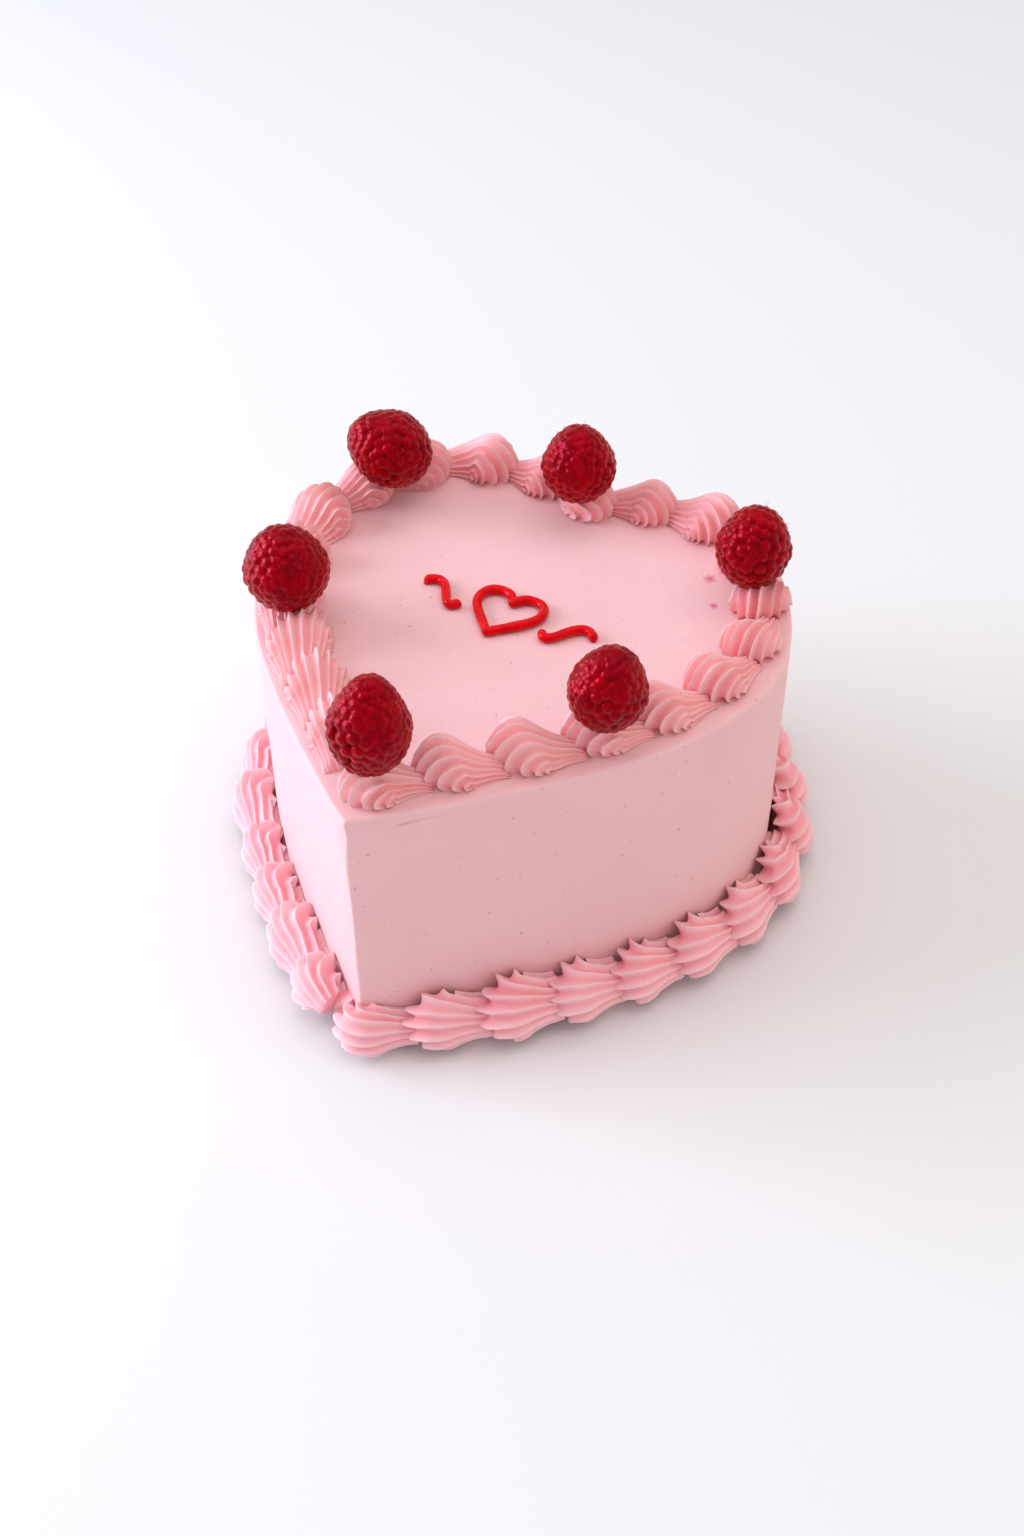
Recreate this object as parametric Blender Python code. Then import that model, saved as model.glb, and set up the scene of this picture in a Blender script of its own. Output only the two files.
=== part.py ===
# Heart shaped layer cake: a smooth iced body, two piped shell borders,
# six raspberries and a small piped gel ornament on top.
# Units are metres, +Z is up. The origin is the middle of the heart, on the
# surface that the cake stands on. The heart's tip points along -Y.

import math
import random

import bmesh
import bpy
import numpy as np

# Cake body
HEART_LENGTH = 0.1638
HEART_HALF_WIDTH = 0.0785
WIDEST_FROM_TIP = 0.1032
LOBE_TOP_OFFSET = 0.0353
NOTCH_DEPTH = 0.0061
TIP_SIDE_ANGLE = math.radians(38.4)
NOTCH_SIDE_ANGLE = math.radians(35.0)
CAKE_HEIGHT = 0.086
TOP_EDGE_ROUND = 0.0012

# How far each stretch of the outline holds its direction
TIP_REACH = 0.0581
SIDE_REACH = 0.0361
LOBE_SIDE_REACH = 0.0194
LOBE_TOP_REACH_OUT = 0.0240
LOBE_TOP_REACH_IN = 0.0183
NOTCH_REACH = 0.0130

# Clearance kept between any two pieces
GAP = 0.0003

# Piped border along the top edge
TOP_SHELL_COUNT = 22
TOP_BORDER_INSET = 0.0105
TOP_BORDER_SHIFT = (-0.0007, 0.0003)
TOP_SHELL_HEIGHT = 0.0125
TOP_SHELL_HALF_WIDTH = 0.0097
TOP_SHELL_MIDDLE = 0.0045
TOP_TAIL_SIZE = 0.58
TOP_HEAD_START = 0.0085
TOP_LAST_STOP = 0.0115
TOP_LEAN_IN = 0.0012
TOP_LEAN_OUT = 0.0040
TOP_BACK_PUSH = 0.0022
TOP_BACK_SWELL = 0.07
TOP_LEFT_PULL = 0.0008
TOP_LEFT_SWELL = 0.11

# Piped border round the foot
BASE_SHELL_COUNT = 27
BASE_BORDER_OFFSET = 0.0060
BASE_TIP_OFFSET = 0.0022
BASE_TIP_SIZE = 0.88
BASE_RIGHT_EASE = 0.040
BASE_LEFT_EASE = 0.014
BASE_WALL_GAP = 0.0005
BASE_TIP_GAP = 0.0004
BASE_SHELL_HEIGHT = 0.0222
BASE_SHELL_HALF_WIDTH = 0.0058
BASE_SHELL_MIDDLE = 0.0106
BASE_TAIL_SIZE = 0.60
BASE_TAIL_DROP = 0.0018
BASE_TAIL_OUT = 0.0006
BASE_START_BEFORE_TIP = 0.0068

# Shape of one piped shell
HEAD_START_SIZE = 0.80
HEAD_WIDEST_AT = 0.30
SHELL_STATIONS = (0.0, 0.13, 0.32, 0.56, 0.79, 1.0)
RIDGE_DEPTH = 0.0017
RIDGE_SPACING = math.radians(31.0)
SIZE_SPREAD = 0.05
PITCH_SPREAD = 0.07
TWIST_SPREAD = math.radians(7.0)
PIPING_SEED = 11

# Raspberries: name, place from the heart's tip (x, y), width, height, seat above the icing,
# lean (degrees) and the compass direction of the lean (degrees from +X), taper to the point
RASPBERRIES = (
    ("raspberry_tip", (0.0009, 0.0149), 0.0220, 0.0290, 0.0068, 5, 60, 0.32),
    ("raspberry_right_side", (0.0474, 0.0548), 0.0212, 0.0250, 0.0068, 10, 20, 0.22),
    ("raspberry_right_lobe", (0.0594, 0.1271), 0.0215, 0.0250, 0.0068, 5, 0, 0.16),
    ("raspberry_notch", (-0.0012, 0.1445), 0.0225, 0.0242, 0.0068, 5, 120, 0.20),
    ("raspberry_left_lobe", (-0.0554, 0.1280), 0.0235, 0.0265, 0.0068, 60, 205, 0.16),
    ("raspberry_left_side", (-0.0521, 0.0635), 0.0243, 0.0250, 0.0068, 12, 150, 0.16),
)
DRUPELET_RELIEF = 0.10
BERRY_CLEARANCE = 0.0005
BERRY_DENT_SHARE = 0.86

# Gel ornament: a heart outline between two flourishes, piped in one thin line each
GEL_CENTRE_FROM_TIP = 0.0925
GEL_TURN = math.radians(-4.0)
GEL_RADIUS = 0.0014
GEL_SIDES = 6
GEL_HEART_HALF_WIDTH = 0.0100
GEL_HEART_TOP = 0.0080
GEL_HEART_DIP = 0.0042
GEL_HEART_BOTTOM = -0.0105
FLOURISH_START = (0.0132, -0.0022)
FLOURISH_SWING = ((0.0170, -0.0125), (0.0205, 0.0115))
FLOURISH_END = (0.0275, 0.0010)


def bezier(start, leave, arrive, end, steps):
    """Points of one cubic curve, without its last point."""
    t = (np.arange(steps) / steps)[:, None]
    start, leave, arrive, end = (np.array(p, float) for p in (start, leave, arrive, end))
    early = (1 - t) ** 3 * start + 3 * (1 - t) ** 2 * t * leave
    late = 3 * (1 - t) * t ** 2 * arrive + t ** 3 * end
    return early + late


def from_tip(x, y):
    """A place measured from the heart's tip, in the part's own frame."""
    return np.array((x, y - HEART_LENGTH / 2))


def heart_outline(side_steps, lobe_steps, notch_steps):
    """The closed plan outline, counter-clockwise from the tip."""
    tip = from_tip(0, 0)
    widest = from_tip(HEART_HALF_WIDTH, WIDEST_FROM_TIP)
    lobe_top = from_tip(LOBE_TOP_OFFSET, HEART_LENGTH)
    notch = from_tip(0, HEART_LENGTH - NOTCH_DEPTH)
    tip_way = np.array((math.cos(TIP_SIDE_ANGLE), math.sin(TIP_SIDE_ANGLE)))
    notch_way = np.array((math.cos(NOTCH_SIDE_ANGLE), math.sin(NOTCH_SIDE_ANGLE)))
    side = bezier(tip, tip + TIP_REACH * tip_way, widest - (0, SIDE_REACH), widest, side_steps)
    lobe = bezier(widest, widest + (0, LOBE_SIDE_REACH), lobe_top + (LOBE_TOP_REACH_OUT, 0),
                  lobe_top, lobe_steps)
    inner = bezier(lobe_top, lobe_top - (LOBE_TOP_REACH_IN, 0), notch + NOTCH_REACH * notch_way,
                   notch, notch_steps)
    right = np.vstack((side, lobe, inner, [notch]))
    left = right[-2:0:-1] * (-1, 1)
    return np.vstack((right, left))


def distance_to_outline(points, outline):
    """Shortest distance from each point to a closed outline."""
    start = outline[None]
    along = np.roll(outline, -1, axis=0)[None] - start
    away = points[:, None] - start
    share = np.clip((away * along).sum(2) / (along ** 2).sum(2), 0, 1)
    return np.sqrt(((away - share[..., None] * along) ** 2).sum(2)).min(1)


def offset_outline(outline, distances):
    """A line outside the outline by one distance for each point, or inside it if negative."""
    along = np.roll(outline, -1, axis=0) - outline
    headings = np.arctan2(along[:, 1], along[:, 0])
    points, wanted = [], []
    for corner, before, after, distance in zip(outline, np.roll(headings, 1), headings, distances):
        turn = (after - before + math.pi) % (2 * math.pi) - math.pi
        steps = max(1, int(turn / math.radians(4))) if distance > 0 else 1
        for heading in before + turn * (np.arange(steps) + 0.5) / steps:
            outward = np.array((math.sin(heading), -math.cos(heading)))
            points.append(corner + distance * outward)
            wanted.append(abs(distance))
    points = np.array(points)
    return points[distance_to_outline(points, outline) > 0.97 * np.array(wanted)]


class PipingLine:
    """The middle line of a piped border, read by the distance along it."""

    STEP = 0.0005
    SMOOTHING = 0.006

    def __init__(self, points, closed):
        lengths = np.hypot(*np.diff(points, axis=0).T)
        run = np.concatenate(([0], np.cumsum(lengths)))
        even = np.arange(0, run[-1], self.STEP)
        line = np.column_stack([np.interp(even, run, points[:, axis]) for axis in (0, 1)])
        reach = int(self.SMOOTHING / self.STEP)
        if closed:
            before, after = line[-reach:], line[:reach]
        else:
            before = 2 * line[0] - line[reach:0:-1]
            after = 2 * line[-1] - line[-2:-reach - 2:-1]
        padded = np.vstack((before, line, after))
        window = np.hanning(2 * reach + 3)[1:-1]
        window /= window.sum()
        self.line = np.column_stack([np.convolve(padded[:, axis], window, "valid")
                                     for axis in (0, 1)])
        self.run = even
        self.length = even[-1]
        if closed:
            self.line[-1] = self.line[0]
        way = np.gradient(self.line, axis=0)
        if closed:
            way[0] = way[-1] = self.line[1] - self.line[-2]
        way /= np.hypot(*way.T)[:, None]
        self.outward = np.column_stack((way[:, 1], -way[:, 0]))

    def read(self, table, distance):
        return np.array([np.interp(distance, self.run, table[:, axis]) for axis in (0, 1)])

    def place(self, distance, sideways):
        """A plan point beside the line; sideways is positive away from the cake's middle."""
        outward = self.read(self.outward, distance)
        return self.read(self.line, distance) + sideways * outward / np.hypot(*outward)


def top_piping_line(outline):
    """From the tip, up the right side, round both lobes and back down the left side."""
    inset = offset_outline(outline, np.full(len(outline), -TOP_BORDER_INSET)) + TOP_BORDER_SHIFT
    start_way = inset[4] - inset[0]
    start_way /= np.hypot(*start_way)
    lengths = np.hypot(*np.diff(inset[::-1], axis=0).T)
    kept = inset[::-1][np.concatenate(([0], np.cumsum(lengths))) > TOP_LAST_STOP][::-1]
    return PipingLine(np.vstack(([inset[0] - TOP_HEAD_START * start_way], kept)), False)


def eased(share):
    """0 below 0 and 1 above 1, with a smooth rise between them."""
    share = np.clip(share, 0, 1)
    return share * share * (3 - 2 * share)


def top_border_fit(point):
    """How far out the top border is pushed at a place on its line, and how much it swells."""
    back = eased((point[1] + HEART_LENGTH / 2 - 0.095) / 0.030)
    left = eased((-point[0] - 0.012) / 0.020) * (1 - back)
    return (TOP_BACK_PUSH * back - TOP_LEFT_PULL * left,
            1 + TOP_BACK_SWELL * back + TOP_LEFT_SWELL * left)


def base_piping_line(outline):
    """Right round the foot, starting a little before the tip."""
    loop = offset_outline(outline, base_offset(outline))
    first = int(np.argmin(np.hypot(*(loop - base_start_point()).T)))
    loop = np.roll(loop, -first, axis=0)
    return PipingLine(np.vstack((loop, loop[:1])), True)


def away_from_tip(points):
    """0 at the heart's tip, easing to 1 where the foot border has its full size."""
    away = np.hypot(*(points - from_tip(0, 0)).T)
    return eased(away / np.where(points[:, 0] > 0, BASE_RIGHT_EASE, BASE_LEFT_EASE))


def base_offset(points):
    """Distance of the foot border's middle line from the wall: it hugs the heart's tip."""
    return BASE_TIP_OFFSET + (BASE_BORDER_OFFSET - BASE_TIP_OFFSET) * away_from_tip(points)


def base_start_point():
    """Where the first shell of the foot border begins, left of the tip."""
    left_way = np.array((-math.cos(TIP_SIDE_ANGLE), math.sin(TIP_SIDE_ANGLE)))
    outward = np.array((-math.sin(TIP_SIDE_ANGLE), -math.cos(TIP_SIDE_ANGLE)))
    return from_tip(0, 0) + BASE_START_BEFORE_TIP * left_way + BASE_TIP_OFFSET * outward


def swell(share, tail_size):
    """Size of a shell along its length: a quick swelling head, then a long taper."""
    if share < HEAD_WIDEST_AT:
        rise = math.sin(math.pi / 2 * share / HEAD_WIDEST_AT)
        return HEAD_START_SIZE + (1 - HEAD_START_SIZE) * rise
    fall = (share - HEAD_WIDEST_AT) / (1 - HEAD_WIDEST_AT)
    return 1 - (1 - tail_size) * fall ** 1.5


def ridged_section(half_width, height, middle, floor, ridges, twist):
    """Half-open ridged outline of one shell, as (sideways, up) pairs from one foot to the other."""
    crown = height - middle
    foot_angle = math.acos(max(-1.0, (floor - middle) / crown))
    steps = np.arange(-(ridges - 1), ridges) * RIDGE_SPACING / 2 + twist
    depths = np.where(np.arange(len(steps)) % 2 == 0, 0, RIDGE_DEPTH)
    points = [(-half_width * math.sin(foot_angle), floor)]
    for angle, depth in zip(steps, depths):
        side = (half_width - depth) * math.sin(angle)
        up = middle + (crown - depth) * math.cos(angle)
        points.append((side, max(up, floor)))
    points.append((half_width * math.sin(foot_angle), floor))
    return points


def lofted(name, sections, material):
    """A closed solid through rings that all have the same number of points."""
    mesh = bpy.data.meshes.new(name)
    form = bmesh.new()
    rings = [[form.verts.new(point) for point in section] for section in sections]
    count = len(rings[0])
    for ring, following in zip(rings, rings[1:]):
        for i in range(count):
            j = (i + 1) % count
            form.faces.new((ring[i], ring[j], following[j], following[i]))
    form.faces.new(rings[0][::-1])
    form.faces.new(rings[-1])
    bmesh.ops.recalc_face_normals(form, faces=form.faces[:])
    form.to_mesh(mesh)
    form.free()
    return add_object(name, mesh, material)


def add_object(name, mesh, material):
    mesh.materials.append(material)
    mesh.shade_smooth()
    mesh.set_sharp_from_angle(angle=math.radians(28))
    piece = bpy.data.objects.new(name, mesh)
    bpy.context.scene.collection.objects.link(piece)
    return piece


def berry_dent(point):
    """Highest level that the icing may reach at a plan point under the raspberries."""
    level = math.inf
    for _, place, width, height, seat, _, _, _ in RASPBERRIES:
        away = np.hypot(*(point - from_tip(*place))) / (width / 2)
        if away < 1.12:
            bowl = BERRY_DENT_SHARE * height / 4 * away ** 2
            level = min(level, CAKE_HEIGHT + seat - BERRY_CLEARANCE + bowl)
    return level


def uneven_pitches(count, chance):
    """Ends of the shells as shares of the whole line, a little uneven."""
    steps = [1 + chance.uniform(-PITCH_SPREAD, PITCH_SPREAD) for _ in range(count)]
    ends = np.concatenate(([0], np.cumsum(steps)))
    return ends / ends[-1]


def top_shells(outline, material):
    line = top_piping_line(outline)
    chance = random.Random(PIPING_SEED)
    ends = uneven_pitches(TOP_SHELL_COUNT, chance) * line.length
    for number, (start, end) in enumerate(zip(ends, ends[1:]), 1):
        scale = 1 + chance.uniform(-SIZE_SPREAD, SIZE_SPREAD)
        twist = chance.uniform(-TWIST_SPREAD, TWIST_SPREAD)
        sections = []
        for share in SHELL_STATIONS:
            distance = start + GAP / 2 + (end - start - GAP) * share
            size = swell(share, TOP_TAIL_SIZE) * scale
            lean = -TOP_LEAN_IN + TOP_LEAN_OUT * share
            push, wide = top_border_fit(line.place(distance, 0))
            ring = []
            for side, up in ridged_section(TOP_SHELL_HALF_WIDTH * size, TOP_SHELL_HEIGHT * size,
                                           TOP_SHELL_MIDDLE * size, GAP, 8, twist * (1 - share)):
                plan = line.place(distance, push + lean + side * wide)
                level = min(CAKE_HEIGHT + up * (1 + wide) / 2, berry_dent(plan))
                ring.append((plan[0], plan[1], level))
            sections.append(ring)
        lofted(f"top_shell_{number:02d}", sections, material)


def base_shells(outline, material):
    line = base_piping_line(outline)
    chance = random.Random(PIPING_SEED + 1)
    ends = uneven_pitches(BASE_SHELL_COUNT, chance) * line.length
    for number, (start, end) in enumerate(zip(ends, ends[1:]), 1):
        scale = 1 + chance.uniform(-SIZE_SPREAD, 0)
        twist = chance.uniform(-TWIST_SPREAD, TWIST_SPREAD)
        sections = []
        for share in SHELL_STATIONS:
            distance = start + GAP / 2 + (end - start - GAP) * share
            near_tip = 1 - away_from_tip(line.place(distance, 0)[None])[0]
            size = swell(share, BASE_TAIL_SIZE) * scale * (1 - (1 - BASE_TIP_SIZE) * near_tip)
            middle = BASE_SHELL_MIDDLE * size - BASE_TAIL_DROP * share
            height = middle + (BASE_SHELL_HEIGHT - BASE_SHELL_MIDDLE) * size
            nearest = (BASE_WALL_GAP + BASE_TIP_GAP * near_tip
                       - distance_to_outline(line.place(distance, 0)[None], outline)[0])
            ring = []
            for side, up in ridged_section(BASE_SHELL_HALF_WIDTH * size, height, middle, 0,
                                           9, twist * (1 - share)):
                plan = line.place(distance, max(BASE_TAIL_OUT * share + side, nearest))
                ring.append((plan[0], plan[1], up))
            sections.append(ring)
        lofted(f"base_shell_{number:02d}", sections, material)


def cake_body(outline, material):
    """The iced heart: straight wall, flat top, and a small round along the top edge."""
    shrunk = outline * (1 - TOP_EDGE_ROUND / HEART_HALF_WIDTH)
    levels = ((outline, 0), (outline, CAKE_HEIGHT - TOP_EDGE_ROUND), (shrunk, CAKE_HEIGHT))
    sections = [[(x, y, z) for x, y in plan] for plan, z in levels]
    return lofted("cake", sections, material)


def raspberry(name, place, width, height, seat, lean, lean_way, taper, material):
    """An egg shaped berry of raised drupelets that leans on the border."""
    form = bmesh.new()
    bmesh.ops.create_icosphere(form, subdivisions=2, radius=1.0)
    drupelets = len(form.verts)
    bmesh.ops.subdivide_edges(form, edges=form.edges[:], cuts=1, use_grid_fill=True)
    form.verts.index_update()
    lean_turn = math.radians(lean)
    way = math.radians(lean_way)
    for vert in form.verts:
        on_ball = vert.co.normalized()
        relief = 1.0 if vert.index < drupelets else 1.0 - DRUPELET_RELIEF
        round_share = relief * (1 - taper * max(0.0, on_ball.z))
        along = on_ball.x * width / 2 * round_share
        across = on_ball.y * width / 2 * round_share
        up = on_ball.z * height / 2 * relief
        forward = along * math.cos(lean_turn) + up * math.sin(lean_turn)
        up = up * math.cos(lean_turn) - along * math.sin(lean_turn)
        x = forward * math.cos(way) - across * math.sin(way)
        y = forward * math.sin(way) + across * math.cos(way)
        vert.co = (x, y, up)
    lowest = min(vert.co.z for vert in form.verts)
    centre = from_tip(*place)
    for vert in form.verts:
        vert.co.x += centre[0]
        vert.co.y += centre[1]
        vert.co.z += CAKE_HEIGHT + seat - lowest
    mesh = bpy.data.meshes.new(name)
    form.to_mesh(mesh)
    form.free()
    return add_object(name, mesh, material)


def piped_line(name, points, closed, material):
    """A thin round line of gel along plan points, lying on the icing."""
    count = len(points)
    sections = []
    for i, point in enumerate(points):
        before = points[(i - 1) % count] if closed or i > 0 else point
        after = points[(i + 1) % count] if closed or i < count - 1 else point
        incoming = point - before if np.any(point != before) else after - point
        outgoing = after - point if np.any(after != point) else incoming
        incoming = incoming / np.hypot(*incoming)
        outgoing = outgoing / np.hypot(*outgoing)
        mean = incoming + outgoing
        mean /= np.hypot(*mean)
        mitre = 1 / max(float(mean @ outgoing), 0.5)
        sideways = np.array((mean[1], -mean[0])) * mitre
        ring = []
        for step in range(GEL_SIDES):
            angle = 2 * math.pi * (step + 0.5) / GEL_SIDES
            plan = point + sideways * GEL_RADIUS * math.sin(angle)
            level = CAKE_HEIGHT + GAP + GEL_RADIUS * (0.87 + math.cos(angle))
            ring.append((plan[0], plan[1], level))
        sections.append(ring)
    if not closed:
        return lofted(name, sections, material)
    return looped(name, sections, material)


def looped(name, sections, material):
    """A closed solid through rings whose last joins its first."""
    mesh = bpy.data.meshes.new(name)
    form = bmesh.new()
    rings = [[form.verts.new(point) for point in section] for section in sections]
    count = len(rings[0])
    for ring, following in zip(rings, rings[1:] + rings[:1]):
        for i in range(count):
            j = (i + 1) % count
            form.faces.new((ring[i], ring[j], following[j], following[i]))
    bmesh.ops.recalc_face_normals(form, faces=form.faces[:])
    form.to_mesh(mesh)
    form.free()
    return add_object(name, mesh, material)


def on_top(points):
    """Ornament points, turned and set in the middle of the cake's top."""
    turn = np.array(((math.cos(GEL_TURN), math.sin(GEL_TURN)),
                     (-math.sin(GEL_TURN), math.cos(GEL_TURN))))
    return points @ turn + from_tip(0, GEL_CENTRE_FROM_TIP)


def gel_ornament(material):
    half, top = GEL_HEART_HALF_WIDTH, GEL_HEART_TOP
    bottom = np.array((0, GEL_HEART_BOTTOM))
    dip = np.array((0, GEL_HEART_DIP))
    crown = np.array((half * 0.52, top))
    side = np.array((half, top * 0.35))
    half_heart = np.vstack((
        bezier(bottom, bottom + (half * 0.35, half * 0.42), side - (0, half * 0.42), side, 6),
        bezier(side, side + (0, half * 0.30), crown + (half * 0.30, 0), crown, 3),
        bezier(crown, crown - (half * 0.28, 0), dip + (half * 0.10, half * 0.20), dip, 3),
        [dip],
    ))
    loop = np.vstack((half_heart, half_heart[-2:0:-1] * (-1, 1)))
    piped_line("gel_heart", on_top(loop), True, material)
    swing = bezier(FLOURISH_START, *FLOURISH_SWING, FLOURISH_END, 16)
    flourish = np.vstack((swing, [FLOURISH_END]))
    piped_line("gel_flourish_right", on_top(flourish), False, material)
    piped_line("gel_flourish_left", on_top(flourish * (-1, 1)), False, material)


def finish(name, colour, roughness, coat=0.0):
    """A Principled material; the colour is linear red, green and blue."""
    material = bpy.data.materials.new(name)
    material.use_nodes = True
    shader = material.node_tree.nodes["Principled BSDF"]
    shader.inputs["Base Color"].default_value = (*colour, 1.0)
    shader.inputs["Roughness"].default_value = roughness
    shader.inputs["Metallic"].default_value = 0.0
    shader.inputs["Coat Weight"].default_value = coat
    material.diffuse_color = (*colour, 1.0)
    return material


def build():
    for leftover in list(bpy.data.objects):
        bpy.data.objects.remove(leftover)
    icing = finish("smooth_icing", (0.83, 0.49, 0.51), 0.55)
    top_piping = finish("top_piping", (0.83, 0.40, 0.44), 0.50)
    base_piping = finish("base_piping", (0.82, 0.36, 0.40), 0.50)
    berry = finish("raspberry_flesh", (0.36, 0.008, 0.02), 0.35, 0.3)
    gel = finish("red_gel", (0.55, 0.006, 0.008), 0.15, 0.5)
    cake_body(heart_outline(12, 10, 6), icing)
    fine_outline = heart_outline(90, 70, 40)
    top_shells(fine_outline, top_piping)
    base_shells(fine_outline, base_piping)
    for berry_sizes in RASPBERRIES:
        raspberry(*berry_sizes, berry)
    gel_ornament(gel)


build()
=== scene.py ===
# %% [markdown]
# Heart shaped cake with piped borders and raspberries
#
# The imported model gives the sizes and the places. This notebook dresses it: every plain solid is
# replaced by a finer mesh that stands in the same place, and every surface gets a finish that is
# worked out by nodes. Lengths are in metres, +Z is up, and the heart's tip points along -Y.

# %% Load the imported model
import math
import random

import bmesh
import bpy
import numpy as np
from mathutils import Matrix, Vector, noise


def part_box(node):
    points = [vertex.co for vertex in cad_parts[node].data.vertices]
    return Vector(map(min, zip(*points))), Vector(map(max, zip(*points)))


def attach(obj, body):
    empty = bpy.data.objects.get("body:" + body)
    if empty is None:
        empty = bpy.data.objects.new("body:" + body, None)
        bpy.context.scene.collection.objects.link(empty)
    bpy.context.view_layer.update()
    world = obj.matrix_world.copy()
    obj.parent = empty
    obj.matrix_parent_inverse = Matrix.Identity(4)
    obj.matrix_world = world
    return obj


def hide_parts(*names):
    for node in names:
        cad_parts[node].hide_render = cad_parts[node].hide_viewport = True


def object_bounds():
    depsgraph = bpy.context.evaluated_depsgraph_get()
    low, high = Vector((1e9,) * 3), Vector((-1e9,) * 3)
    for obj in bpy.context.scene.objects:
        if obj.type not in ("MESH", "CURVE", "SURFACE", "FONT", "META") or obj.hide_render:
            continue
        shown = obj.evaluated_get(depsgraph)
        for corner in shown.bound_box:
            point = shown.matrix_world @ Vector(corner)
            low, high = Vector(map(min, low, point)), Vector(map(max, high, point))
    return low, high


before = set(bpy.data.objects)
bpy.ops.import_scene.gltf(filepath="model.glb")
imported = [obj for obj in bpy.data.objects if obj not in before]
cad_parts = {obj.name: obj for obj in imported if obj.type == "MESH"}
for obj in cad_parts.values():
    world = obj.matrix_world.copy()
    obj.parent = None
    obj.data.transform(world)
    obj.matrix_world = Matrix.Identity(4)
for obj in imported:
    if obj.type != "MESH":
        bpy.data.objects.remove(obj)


def corners(bounds):
    """A box as plain lists of numbers."""
    return [[float(value) for value in corner] for corner in bounds]


cad_box = corners(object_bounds())
print(len(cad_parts), "solids, box", [round(v, 4) for c in cad_box for v in c])

# %% [markdown]
# Every piece here is a sheet of points in rows and columns, closed where it comes round on
# itself and capped at its ends. One helper turns such a sheet into a mesh object. Points that are
# worked out together in one array keep the pieces quick to make.

# %% A mesh from rows of points
def sheet_object(name, rows, cap_first=True, cap_last=True):
    """A closed mesh whose rows are rings of points."""
    rows = np.asarray(rows, float)
    count, around = rows.shape[:2]
    ring = np.arange(around)
    following = (ring + 1) % around
    faces = []
    for row in range(count - 1):
        low, high = row * around, (row + 1) * around
        faces.extend(np.column_stack((low + ring, low + following, high + following,
                                      high + ring)).tolist())
    if cap_first:
        faces.append(ring[::-1].tolist())
    if cap_last:
        faces.append(((count - 1) * around + ring).tolist())
    return mesh_object(name, rows.reshape(-1, 3), faces)


def mesh_object(name, points, faces):
    """A smooth shaded mesh object with its faces turned outward."""
    mesh = bpy.data.meshes.new(name)
    mesh.from_pydata([tuple(point) for point in points], [], faces)
    form = bmesh.new()
    form.from_mesh(mesh)
    bmesh.ops.recalc_face_normals(form, faces=form.faces[:])
    form.to_mesh(mesh)
    form.free()
    mesh.shade_smooth()
    piece = bpy.data.objects.new(name, mesh)
    bpy.context.scene.collection.objects.link(piece)
    return piece


# %% [markdown]
# A finish is a Principled shader and the nodes that feed it. Sums and products of node outputs
# are easier to read as arithmetic, so one small class wraps an output and turns +, - and * into
# Math nodes. The finish itself has one method that makes any other node.

# %% Shader arithmetic
class Wire:
    """One node output that can be used in sums."""

    def __init__(self, finish, socket):
        self.finish = finish
        self.socket = socket

    def maths(self, operation, *others):
        return self.finish.node("ShaderNodeMath", {"operation": operation}, *others)

    def __add__(self, other):
        return self.maths("ADD", self, other)

    def __radd__(self, other):
        return self.maths("ADD", other, self)

    def __sub__(self, other):
        return self.maths("SUBTRACT", self, other)

    def __rsub__(self, other):
        return self.maths("SUBTRACT", other, self)

    def __mul__(self, other):
        return self.maths("MULTIPLY", self, other)

    def __rmul__(self, other):
        return self.maths("MULTIPLY", other, self)

    def between(self, low, high):
        """0 below low, 1 above high, and an even slope from one to the other."""
        return self.finish.node("ShaderNodeMapRange", {"clamp": True}, self, low, high, 0.0, 1.0)


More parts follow.
